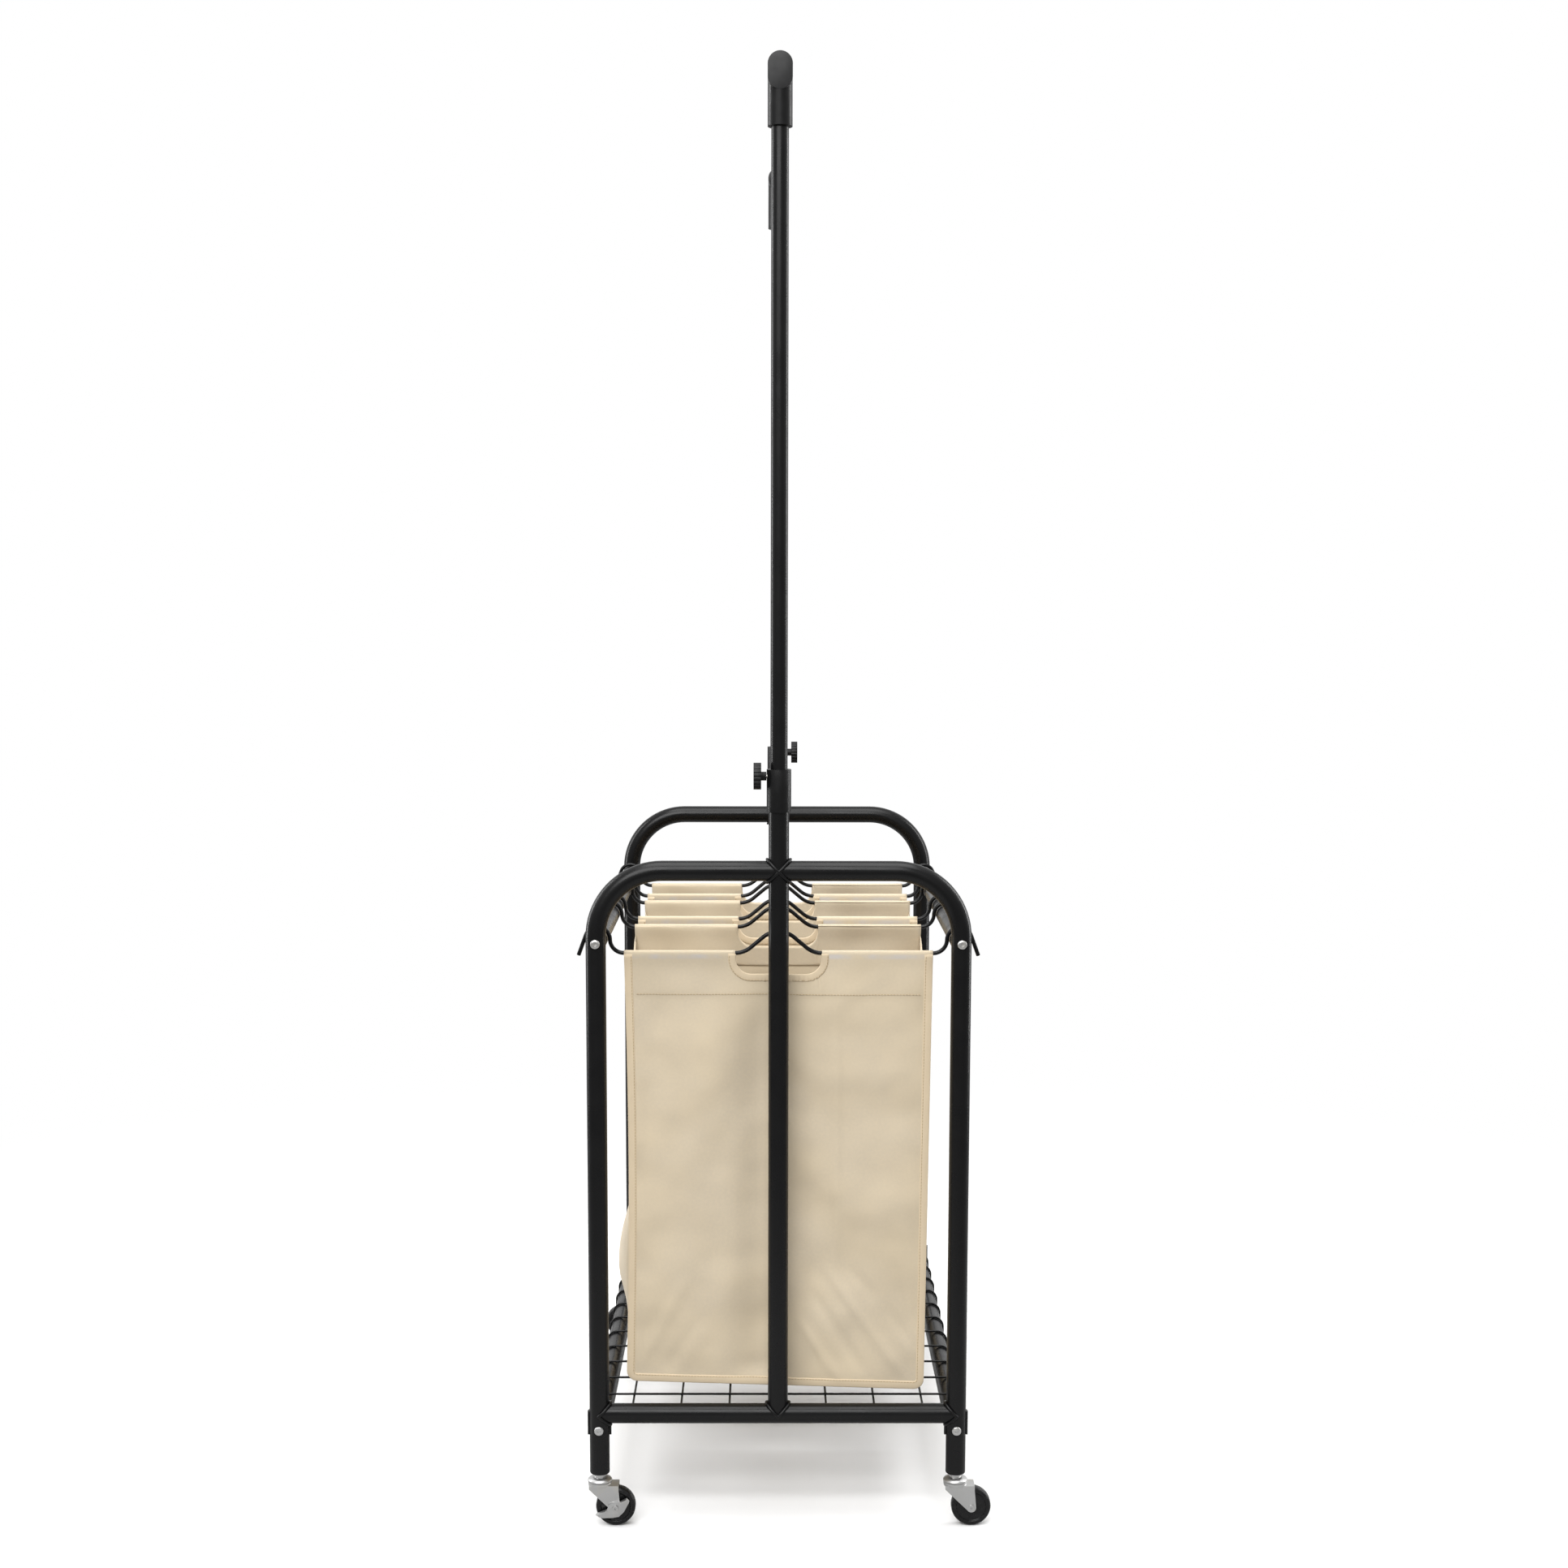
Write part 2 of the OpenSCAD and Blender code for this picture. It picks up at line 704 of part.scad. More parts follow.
// Riveted axle; reach is how far its front end stands out of the fork
module axle(reach) {
    side_y = fork_y + fork_t;
    color("#b4b6b8") translate([trail, 0, axle_z]) rotate([90, 0, 0]) difference() {
        union() {
            translate([0, 0, -side_y]) cylinder(d = axle_d, h = 2 * side_y + reach);
            translate([0, 0, side_y + reach]) cylinder(r = axle_head_r, h = axle_head_h);
            translate([0, 0, -side_y - axle_head_h]) cylinder(r = axle_head_r, h = axle_head_h);
        }
        for (z = [-side_y - axle_head_h - cut, side_y + reach + axle_head_h - 2])
            translate([0, 0, z]) cylinder(r = 1.3, h = 2 + cut);
    }
}

module front_left_axle() caster_at(-1, -1) axle(brake_reach);
module front_right_axle() caster_at(1, -1) axle(0);
module rear_left_axle() caster_at(-1, 1) axle(0);
module rear_right_axle() caster_at(1, 1) axle(brake_reach);

// Wheel with a rounded tread, a dished web on each side and a hub
module wheel() {
    r = wheel_d / 2;
    w = wheel_w / 2;
    hub_r = 7;
    rim_r = r - 6;
    dish = 2.2;
    half = [
        [0, w], [hub_r, w], [hub_r + 0.8, w - dish], [rim_r - 0.8, w - dish], [rim_r, w - 0.6],
        [r - 3, w - 0.6], [r - 0.8, w - 2.2], [r, w - 5]
    ];
    mirrored = [for (i = [len(half) - 1 : -1 : 0]) [half[i][0], -half[i][1]]];
    color("#151515") translate([trail, 0, axle_z]) rotate([90, 0, 0]) rotate_extrude() difference() {
        polygon(concat(half, mirrored));
        translate([0, -w - cut]) square([axle_d / 2 + run_gap, wheel_w + 2 * cut]);
    }
}

module front_left_wheel() caster_at(-1, -1) wheel();
module front_right_wheel() caster_at(1, -1) wheel();
module rear_left_wheel() caster_at(-1, 1) wheel();
module rear_right_wheel() caster_at(1, 1) wheel();

// Foot tab folded outwards along the lever's edge between two points of its outline
module brake_tab(from, to) {
    along = to - from;
    translate([from[0], -brake_y - brake_t - brake_tab_w, from[1]])
        rotate([0, -atan2(along[1], along[0]), 0])
            translate([brake_tab_inset, 0, brake_tab_lift - brake_t])
                cube([norm(along) - 2 * brake_tab_inset, brake_tab_w + brake_t, brake_t]);
}

module brake() {
    color("#bfc1c3") translate([trail, 0, axle_z]) difference() {
        union() {
            translate([0, -brake_y, 0]) rotate([90, 0, 0])
                linear_extrude(brake_t) polygon(brake_outline);
            brake_tab(brake_outline[1], brake_outline[2]);
            brake_tab(brake_outline[5], brake_outline[6]);
        }
        y_cylinder(axle_d / 2 + run_gap, 4 * brake_y);
    }
}

module front_left_brake() caster_at(-1, -1) brake();
module rear_right_brake() caster_at(1, 1) brake();

// ---------- bags and hangers ----------

// Places along a bar bent in the XZ plane, as [x, z, heading], from bends of [straight length,
// bend radius, bend angle]; a positive angle curves upwards
function bar_path(bends, x, z, heading, i = 0) =
    i == len(bends) ? [] :
    let (
        length = bends[i][0],
        r = bends[i][1] * sign(bends[i][2]),
        turns = ceil(abs(bends[i][2]) / bend_step),
        x1 = x + length * cos(heading),
        z1 = z + length * sin(heading),
        arc = [for (k = [1 : 1 : turns]) let (h = heading + k * bends[i][2] / turns)
            [x1 + r * (sin(h) - sin(heading)), z1 - r * (cos(h) - cos(heading)), h]],
        end = turns > 0 ? arc[turns - 1] : [x1, z1, heading]
    )
    concat(length > 0 ? [[x1, z1, heading]] : [], arc, bar_path(bends, end[0], end[1], end[2], i + 1));

// The right half of a hanger wire, from the top of its arch out over the rail to the hook's tip
hanger_bends = [
    [0, arch_r, -arch_angle], [arch_slope, arch_r, arch_angle],
    [straight_x - arch_half, hanger_bend_r, 90], [0, hook_r, -hook_turn], [hook_tip, 0, 0]
];
half_path = concat([[0, wire_z + arch_rise, 0]], bar_path(hanger_bends, 0, wire_z + arch_rise, 0));
hanger_path = concat(
    [for (k = [len(half_path) - 1 : -1 : 1]) [-half_path[k][0], half_path[k][1], -half_path[k][2]]],
    half_path
);

// Round wire swept along the path at the given Y
module hanger(y) {
    rings = len(hanger_path);
    last = (rings - 1) * wire_sides;
    points = [for (p = hanger_path) for (j = [0 : wire_sides - 1])
        let (a = j * 360 / wire_sides, up = hanger_d / 2 * cos(a))
        [p[0] - up * sin(p[2]), y + hanger_d / 2 * sin(a), p[1] + up * cos(p[2])]];
    sides = [for (k = [0 : rings - 2]) for (j = [0 : wire_sides - 1])
        let (a = k * wire_sides + j, b = k * wire_sides + (j + 1) % wire_sides)
        [a, b, b + wire_sides, a + wire_sides]];
    color("#1b1b1c") polyhedron(points, concat(
        [[for (j = [wire_sides - 1 : -1 : 0]) j], [for (j = [0 : wire_sides - 1]) last + j]], sides));
}

// Hem tube around a hanger wire; the channel is cut by panel_cuts
module hem(y) {
    translate([-panel_x, y, wire_z]) x_cylinder(hem_d / 2, 2 * panel_x);
}

// The wire channel and the hand hole, cut from a panel at y
module panel_cuts(y) {
    reach = 2 * hem_d;
    bottom = wire_z - hole_depth;
    inner = arch_half - hole_corner_r;
    translate([-panel_x - 2 * cut, y, wire_z])
        x_cylinder(hanger_d / 2 + touch_gap, 2 * panel_x + 4 * cut);
    translate([0, y + reach / 2, 0]) rotate([90, 0, 0]) linear_extrude(reach) {
        translate([-inner, bottom]) square([2 * inner, 2 * hole_depth]);
        translate([-arch_half, bottom + hole_corner_r])
            square([2 * arch_half, 2 * hole_depth - hole_corner_r]);
        for (side = [-1, 1])
            translate([side * inner, bottom + hole_corner_r]) circle(r = hole_corner_r);
    }
}

// Cloth of a bag without its front panel: back, two gussets and bottom
module bag_shell(y, mouth) {
    back_y = y + mouth;
    outer_x = gusset_x + cloth;
    color("#dccfb4") difference() {
        union() {
            translate([-outer_x, back_y - cloth / 2, bag_z])
                cube([2 * outer_x, cloth, wire_z - gusset_sag - bag_z]);
            translate([-panel_x, back_y - cloth / 2, wire_z - gusset_sag - cut])
                cube([2 * panel_x, cloth, gusset_sag + cut]);
            hem(back_y);
            both_x() translate([gusset_x, y - cloth / 2, bag_z])
                cube([cloth, mouth + cloth, wire_z - gusset_sag - bag_z]);
            translate([-outer_x, y - cloth / 2, bag_z]) cube([2 * outer_x, mouth + cloth, cloth]);
        }
        panel_cuts(back_y);
    }
}

// Front panel of a bag with its hem and hand hole
module bag_front(y) {
    bottom = bag_z + cloth + slide_gap;
    color("#e0d3b8") difference() {
        union() {
            translate([-panel_x, y - cloth / 2, bottom]) cube([2 * panel_x, cloth, wire_z - bottom]);
            hem(y);
        }
        panel_cuts(y);
    }
}

module bag_1_shell() bag_shell(bag_1_y, bag_1_mouth);
module bag_2_shell() bag_shell(bag_2_y, bag_2_mouth);
module bag_3_shell() bag_shell(bag_3_y, bag_3_mouth);
module bag_1_front_panel() bag_front(bag_1_y);
module bag_2_front_panel() bag_front(bag_2_y);
module bag_3_front_panel() bag_front(bag_3_y);
module bag_1_front_hanger() hanger(bag_1_y);
module bag_2_front_hanger() hanger(bag_2_y);
module bag_3_front_hanger() hanger(bag_3_y);
module bag_1_rear_hanger() hanger(bag_1_y + bag_1_mouth);
module bag_2_rear_hanger() hanger(bag_2_y + bag_2_mouth);
module bag_3_rear_hanger() hanger(bag_3_y + bag_3_mouth);

front_left_post();
front_right_post();
rear_left_post();
rear_right_post();
front_centre_post();
rear_centre_post();
front_crossbar();
rear_crossbar();
left_upper_rail();
right_upper_rail();
left_lower_rail();
right_lower_rail();
wire_shelf();
frame_bolts();
rail_inserts();
leg_plugs();
front_collar();
rear_collar();
clamp_inserts();
front_clamp_screw();
rear_clamp_screw();
front_knob();
rear_knob();
front_pole();
rear_pole();
hanging_bar();
front_elbow();
rear_elbow();
front_left_stem();
front_right_stem();
rear_left_stem();
rear_right_stem();
stem_nuts();
swivel_balls();
front_left_fork();
front_right_fork();
rear_left_fork();
rear_right_fork();
front_left_axle();
front_right_axle();
rear_left_axle();
rear_right_axle();
front_left_wheel();
front_right_wheel();
rear_left_wheel();
rear_right_wheel();
front_left_brake();
rear_right_brake();
bag_1_shell();
bag_1_front_panel();
bag_1_front_hanger();
bag_1_rear_hanger();
bag_2_shell();
bag_2_front_panel();
bag_2_front_hanger();
bag_2_rear_hanger();
bag_3_shell();
bag_3_front_panel();
bag_3_front_hanger();
bag_3_rear_hanger();
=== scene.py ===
"""Rolling laundry sorter: finishes, welds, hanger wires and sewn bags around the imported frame."""

import json
import math
from contextlib import contextmanager

import bpy
import numpy as np
from bpy.props import FloatProperty, FloatVectorProperty, PointerProperty
from mathutils import Matrix, Vector

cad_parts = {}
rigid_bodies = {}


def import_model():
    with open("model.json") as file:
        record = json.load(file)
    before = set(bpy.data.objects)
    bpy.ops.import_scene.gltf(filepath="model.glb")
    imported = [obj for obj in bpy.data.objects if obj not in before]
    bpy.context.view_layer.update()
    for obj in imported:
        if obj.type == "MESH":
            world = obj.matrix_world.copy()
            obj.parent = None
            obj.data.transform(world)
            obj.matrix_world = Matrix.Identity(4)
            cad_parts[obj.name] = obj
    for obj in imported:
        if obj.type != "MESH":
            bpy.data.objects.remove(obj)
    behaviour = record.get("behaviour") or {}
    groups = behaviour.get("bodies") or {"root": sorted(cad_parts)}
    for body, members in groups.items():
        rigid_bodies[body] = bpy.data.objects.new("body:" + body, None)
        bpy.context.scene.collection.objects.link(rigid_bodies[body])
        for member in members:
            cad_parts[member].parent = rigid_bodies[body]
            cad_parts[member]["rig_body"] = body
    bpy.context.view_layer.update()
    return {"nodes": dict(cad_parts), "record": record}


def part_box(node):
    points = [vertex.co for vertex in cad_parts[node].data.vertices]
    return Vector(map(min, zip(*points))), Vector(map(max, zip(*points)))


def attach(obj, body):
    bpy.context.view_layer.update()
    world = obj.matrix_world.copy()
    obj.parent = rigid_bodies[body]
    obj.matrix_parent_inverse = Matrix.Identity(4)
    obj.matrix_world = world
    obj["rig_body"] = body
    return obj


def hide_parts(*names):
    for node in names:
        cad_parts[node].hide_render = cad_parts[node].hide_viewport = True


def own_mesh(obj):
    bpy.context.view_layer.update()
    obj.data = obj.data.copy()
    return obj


bl_info = {
    "name": "Laundry sorter",
    "version": (1, 0, 0),
    "blender": (4, 5, 0),
    "location": "3D View > Sidebar > Laundry sorter",
    "description": "Finishes, welds, hanger wires and sewn bags around a packed sorter frame",
    "category": "Object",
}

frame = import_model()
MM = 0.001
ENDS = ("front", "rear")
SIDES = ("left", "right")
BAGS = (1, 2, 3)


# ---------- sizes taken from the frame ----------


class Sizes:
    """Places and sizes of the frame, in metres, measured on the CAD nodes."""

    post_low, post_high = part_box("front_left_post")
    tube_r = (post_high.y - post_low.y) / 2
    leg_x = -post_low.x - tube_r
    leg_y = -post_low.y - tube_r
    hoop_z = post_high.z - tube_r
    crossbar_z = sum(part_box("front_crossbar")[k].z for k in (0, 1)) / 2


class Bag:
    """Where one bag hangs: its two wires, its half width and its drop, in metres."""

    def __init__(self, number):
        low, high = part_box(f"bag_{number}_front_panel")
        shell_low, shell_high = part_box(f"bag_{number}_shell")
        self.number = number
        self.hem_r = (high.y - low.y) / 2
        self.wrap_r = self.hem_r - 0.5 * MM
        self.front_y = (high.y + low.y) / 2
        self.back_y = shell_high.y - self.hem_r
        self.mouth = self.back_y - self.front_y
        self.wire_z = high.z - self.hem_r
        self.half = high.x
        self.drop = self.wire_z - shell_low.z


# ---------- settings ----------


def size(name, description, millimetres, low=0.0):
    """A length that the user may change, given in millimetres."""
    return FloatProperty(name=name, description=description, unit="LENGTH",
                         default=millimetres * MM, min=low * MM)


def tint(name, description, colour):
    """A colour that the user may change."""
    return FloatVectorProperty(name=name, description=description, subtype="COLOR",
                               size=3, min=0, max=1, default=colour)


def angle(name, description, degrees):
    """An angle that the user may change, given in degrees."""
    return FloatProperty(name=name, description=description, subtype="ANGLE",
                         default=math.radians(degrees))


def power(name, description, watts):
    """A light's power that the user may change."""
    return FloatProperty(name=name, description=description, subtype="POWER", default=watts)


class FinishSettings(bpy.types.PropertyGroup):
    coat_colour: tint("Powder coat", "Colour of the coated tubes", (0.0038, 0.0038, 0.004))
    plastic_colour: tint("Plastic", "Colour of the collars, elbows and plugs",
                         (0.0045, 0.0045, 0.0047))
    zinc_colour: tint("Zinc", "Colour of the plated casters and bolts", (0.58, 0.58, 0.575))
    cloth_colour: tint("Cloth", "Colour of the bags", (0.585, 0.492, 0.352))
    tape_colour: tint("Binding", "Colour of the bindings", (0.64, 0.525, 0.368))
    # The stitching is darker than the cloth: partly the thread's own colour, partly painted shade
    # for the shadow lines along the bindings' edges.
    thread_and_edge_shade_colour: tint("Thread", "Colour of the stitching", (0.46, 0.35, 0.20))


class HangerSettings(bpy.types.PropertyGroup):
    wire_r: size("Wire radius", "Radius of the hanger wires", 2.6, 1)
    bend_r: size("Bend radius", "Bend where a wire rises to its hook", 17, 5)
    hook_r: size("Hook radius", "Radius of the hooks over the rails", 15.5, 10)
    hook_turn: angle("Hook turn", "How far a hook wraps its rail", 160)
    hook_tip: size("Hook tip", "Straight end of a hook", 27)
    arch_half: size("Arch half width", "Half the width of the arch", 54, 20)
    arch_rise: size("Arch rise", "Height of the arch", 27, 5)
    arch_angle: angle("Arch slope", "Steepest slope of the arch", 40)


class WeldSettings(bpy.types.PropertyGroup):
    bead_r: size("Bead radius", "Radius of the weld beads", 2.0, 0.5)
    stand: FloatProperty(name="Stand", subtype="FACTOR", default=0.6, min=0, max=1,
                         description="How far a bead's middle stands off the tube, in bead radii")


class BagSettings(bpy.types.PropertyGroup):
    cloth_t: size("Cloth", "Thickness of the cloth", 0.9, 0.2)
    hem_depth: size("Hem depth", "Depth of the hem below the wire", 53)
    hole_half: size("Hand hole half width", "Half the hand hole's width", 54)
    hole_depth: size("Hand hole depth", "Depth below the wire", 27)
    hole_corner_r: size("Hand hole corner", "Corner radius of the hole", 20)
    tape_w: size("Binding width", "Width of the edge bindings", 10.5)
    tape_t: size("Binding thickness", "Thickness over both faces", 2.8)
    corner_r: size("Corner radius", "Radius of the bottom corners", 13)
    stitch_l: size("Stitch length", "Length of one stitch", 3.0)
    stitch_gap: size("Stitch gap", "Gap between two stitches", 0.9)
    thread_r: size("Thread radius", "Radius of the sewing thread", 0.33)
    gusset_drop: size("Gusset drop", "Gussets' top edges below the wires", 12)


class StageSettings(bpy.types.PropertyGroup):
    floor_colour: tint("Floor", "Colour of the floor", (0.86, 0.86, 0.86))
    strip_power: power("Strip lights", "Power of the two side strips", 30)
    key_power: power("Front light", "Power of the light in front", 145)
    top_power: power("Top light", "Power of the overhead light", 70)
    lens: FloatProperty(name="Lens", description="Focal length in millimetres", default=52.0)


# ---------- node and mesh helpers ----------


def activate(obj):
    """Deselects all, then selects obj alone and makes it the active object."""
    bpy.ops.object.select_all(action="DESELECT")
    obj.select_set(True)
    bpy.context.view_layer.objects.active = obj
    return obj


@contextmanager
def editing(obj):
    """Edit mode on obj alone, with all of it selected to start with."""
    activate(obj)
    bpy.ops.object.mode_set(mode="EDIT")
    bpy.ops.mesh.select_all(action="SELECT")
    yield
    bpy.ops.object.mode_set(mode="OBJECT")


def apply_modifier(obj, kind, **settings):
    """Adds a modifier with these settings and applies it."""
    activate(obj)
    bpy.ops.object.modifier_add(type=kind)
    modifier = obj.modifiers[-1]
    for key, value in settings.items():
        setattr(modifier, key, value)
    bpy.ops.object.modifier_apply(modifier=modifier.name)


def mesh_piece(name, points, faces, uvs=None):
    """A smooth mesh object from points in metres, with an optional UV for each point."""
    mesh = bpy.data.meshes.new(name)
    mesh.from_pydata([tuple(p) for p in points], [], faces)
    if uvs is not None:
        layer = mesh.uv_layers.new(name="UVMap")
        corners = np.zeros(len(mesh.loops), np.int32)
        mesh.loops.foreach_get("vertex_index", corners)
        layer.data.foreach_set("uv", np.asarray(uvs, np.float32)[corners].ravel())
    mesh.shade_smooth()
    obj = bpy.data.objects.new(name, mesh)
    bpy.context.scene.collection.objects.link(obj)
    return obj


def recalculate(obj):
    """Merges doubles and turns all faces outwards. The object stays active."""
    with editing(obj):
        bpy.ops.mesh.remove_doubles(threshold=0.001 * MM)
        bpy.ops.mesh.normals_make_consistent(inside=False)
    return obj


def mirrored(obj):
    """Completes a piece made as its right half, and shades it smooth."""
    apply_modifier(obj, "MIRROR", merge_threshold=0.05 * MM)
    recalculate(obj)
    bpy.ops.object.shade_smooth()


def grid_faces(rows, columns, closed=False, keep=None):
    """Quads over a grid of points in row order. keep(i, j) says which quads stay."""
    faces = []
    for i in range(rows - 1):
        for j in range(columns if closed else columns - 1):
            if keep is None or keep(i, j):
                k = (j + 1) % columns
                faces.append((i * columns + j, i * columns + k,
                              (i + 1) * columns + k, (i + 1) * columns + j))
    return faces


def tube_along(name, path, radius, sides):
    """A round bar swept along points, with rounded ends."""
    path = np.asarray(path, float)
    ahead = np.vstack([path[1:], 2 * path[-1:] - path[-2:-1]])
    behind = np.vstack([2 * path[:1] - path[1:2], path[:-1]])
    tangents = ahead - behind
    tangents /= np.linalg.norm(tangents, axis=1)[:, None]
    normal = np.cross(tangents[0], (0.31, 0.84, 0.45))
    turn = 2 * math.pi * np.arange(sides) / sides
    rings = []
    for tangent, centre in zip(tangents, path):
        normal = normal - tangent * (normal @ tangent)
        normal /= np.linalg.norm(normal)
        side = np.cross(tangent, normal)
        spokes = np.outer(np.cos(turn), normal) + np.outer(np.sin(turn), side)
        rings.append((centre, tangent, spokes))
    points = [centre + radius * spokes for centre, _, spokes in rings]
    for end, sign in ((0, -1), (-1, 1)):
        centre, tangent, spokes = rings[end]
        caps = [centre + radius * (math.cos(a) * spokes + math.sin(a) * sign * tangent)
                for a in np.radians((30, 60, 85))]
        points = caps[::-1] + points if end == 0 else points + caps
    last = (len(points) - 1) * sides
    faces = grid_faces(len(points), sides, closed=True)
    faces += [tuple(range(sides))[::-1], tuple(range(last, last + sides))]
    return recalculate(mesh_piece(name, np.vstack(points), faces))


def join(name, objects):
    """Joins objects into one piece of that name."""
    activate(objects[0])
    for obj in objects[1:]:
        obj.select_set(True)
    bpy.ops.object.join()
    objects[0].name = name
    objects[0].data.name = name
    return objects[0]


def dress(obj, material):
    """Gives a piece one material."""
    obj.data.materials.clear()
    obj.data.materials.append(material)
    return obj


def smoothstep(low, high, value):
    """Rises smoothly from 0 at low to 1 at high, or falls where low is the greater."""
    t = np.clip((np.asarray(value, float) - low) / (high - low), 0, 1)
    return t * t * (3 - 2 * t)


def bump_at(value, centre, width):
    """A smooth bump of height 1 and that half width."""
    return np.exp(-(((np.asarray(value, float) - centre) / width) ** 2))


# ---------- materials ----------


class Shader:
    """A material being built, with short names for the nodes that it needs."""

    def __init__(self, name):
        self.material = bpy.data.materials.new(name)
        self.material.use_nodes = True
        self.nodes = self.material.node_tree.nodes
        self.links = self.material.node_tree.links
        self.surface = self.nodes["Principled BSDF"]

    def add(self, kind, **settings):
        node = self.nodes.new(kind)
        for key, value in settings.items():
            if key in node.inputs:
                node.inputs[key].default_value = value
            else:
                setattr(node, key, value)
        return node

    def link(self, start, end):
        self.links.new(start, end)
        return end.node

    def set(self, **values):
        for key, value in values.items():
            self.surface.inputs[key.replace("_", " ")].default_value = value

    def place(self, source="Object"):
        if "place" not in self.nodes:
            self.add("ShaderNodeTexCoord", name="place")
        return self.nodes["place"].outputs[source]

    def noise(self, scale, detail=2.0, roughness=0.5, source="Object"):
        node = self.add("ShaderNodeTexNoise", Scale=scale, Detail=detail, Roughness=roughness)
        self.link(self.place(source), node.inputs["Vector"])
        return node.outputs["Fac"]

    def math(self, operation, a, b=None):
        node = self.add("ShaderNodeMath", operation=operation)
        for socket, value in zip(node.inputs, (a, b)):
            if value is None:
                continue
            if isinstance(value, (int, float)):
                socket.default_value = value
            else:
                self.link(value, socket)
        return node.outputs[0]

    def range(self, value, low, high, to_low=0.0, to_high=1.0, smooth=False):
        node = self.add("ShaderNodeMapRange")
        if smooth:
            node.interpolation_type = "SMOOTHSTEP"
        self.link(value, node.inputs["Value"])
        for key, number in zip(("From Min", "From Max", "To Min", "To Max"),
                               (low, high, to_low, to_high)):
            node.inputs[key].default_value = number
        return node.outputs["Result"]

    def mix(self, factor, a, b):
        """Mixes two colours, each a constant or a socket."""
        node = self.add("ShaderNodeMix", data_type="RGBA")
        self.link(factor, node.inputs["Factor"])
        for socket, value in ((node.inputs[6], a), (node.inputs[7], b)):
            if hasattr(value, "default_value"):
                self.link(value, socket)
            else:
                socket.default_value = (*value, 1.0)
        return node.outputs[2]

    def bump(self, height, distance, strength=1.0, over=None):
        node = self.add("ShaderNodeBump", Strength=strength, Distance=distance)
        self.link(height, node.inputs["Height"])
        if over is not None:
            self.link(over, node.inputs["Normal"])
        return node.outputs["Normal"]

    def finish(self, colour=None, roughness=None, normal=None):
        for value, key in ((colour, "Base Color"), (roughness, "Roughness"), (normal, "Normal")):
            if value is not None:
                self.link(value, self.surface.inputs[key])
        return self.material


def shaded(colour, factor):
    """A colour made lighter or darker."""
    return tuple(min(1.0, c * factor) for c in colour)


def coated_steel(name, colour, gloss=0.27, grain=700):
    """Satin powder coat with a fine orange peel and slightly uneven gloss."""
    s = Shader(name)
    s.set(Specular_IOR_Level=0.24)
    tone = s.noise(9, 3)
    peel = s.noise(grain, 2)
    return s.finish(s.mix(tone, shaded(colour, 0.75), shaded(colour, 1.3)),
                    s.range(s.noise(26, 4), 0.3, 0.7, gloss - 0.05, gloss + 0.07),
                    s.bump(peel, 0.03 * MM, 0.25))


def moulded_plastic(name, colour, gloss=0.34, grain=1600):
    """Moulded plastic with a fine eroded texture and a slightly uneven tone."""
    s = Shader(name)
    s.set(Specular_IOR_Level=0.25)
    return s.finish(s.mix(s.noise(30, 3), shaded(colour, 0.7), shaded(colour, 1.4)),
                    s.range(s.noise(60, 4), 0.3, 0.7, gloss - 0.06, gloss + 0.09),
                    s.bump(s.noise(grain, 3, 0.6), 0.04 * MM, 0.4))


def tyre_plastic(name, colour):
    """Hard wheel plastic with a fine grain and scuffs."""
    s = Shader(name)
    s.set(Specular_IOR_Level=0.3)
    scuff = s.range(s.noise(180, 6, 0.7), 0.52, 0.7)
    return s.finish(s.mix(scuff, colour, shaded(colour, 2.6)),
                    s.range(scuff, 0, 1, 0.27, 0.5), s.bump(s.noise(900, 3), 0.05 * MM, 0.4))


def plated_zinc(name, colour):
    """Bright zinc plate, mottled, with warm patches and a fine grain."""
    s = Shader(name)
    s.set(Metallic=1.0)
    tone = s.mix(s.noise(45, 3), shaded(colour, 0.9), colour)
    warm = s.mix(s.range(s.noise(30, 4, 0.6), 0.5, 0.9), tone, (0.62, 0.58, 0.50))
    grain = s.noise(700, 5, 0.7)
    return s.finish(warm, s.range(s.noise(150, 5, 0.65), 0.3, 0.7, 0.32, 0.44),
                    s.bump(grain, 0.02 * MM, 0.3))


def turned_brass(name, colour):
    """Turned brass with a fine grain and some tarnish."""
    s = Shader(name)
    s.set(Metallic=1.0)
    return s.finish(s.mix(s.noise(220, 4), colour, shaded(colour, 0.55)),
                    s.range(s.noise(300, 4), 0.3, 0.7, 0.22, 0.4),
                    s.bump(s.noise(1500, 2), 0.02 * MM, 0.4))


def woven(s, pitch):
    """Height of a plain weave of that pitch on the piece's UV map, and the split UV."""
    split = s.add("ShaderNodeSeparateXYZ")
    s.link(s.place("UV"), split.inputs[0])
    waves = []
    for axis in (0, 1):
        phase = s.math("MULTIPLY", split.outputs[axis], math.pi / pitch)
        waves.append(s.math("ABSOLUTE", s.math("SINE", phase)))
    return s.math("MAXIMUM", *waves), split


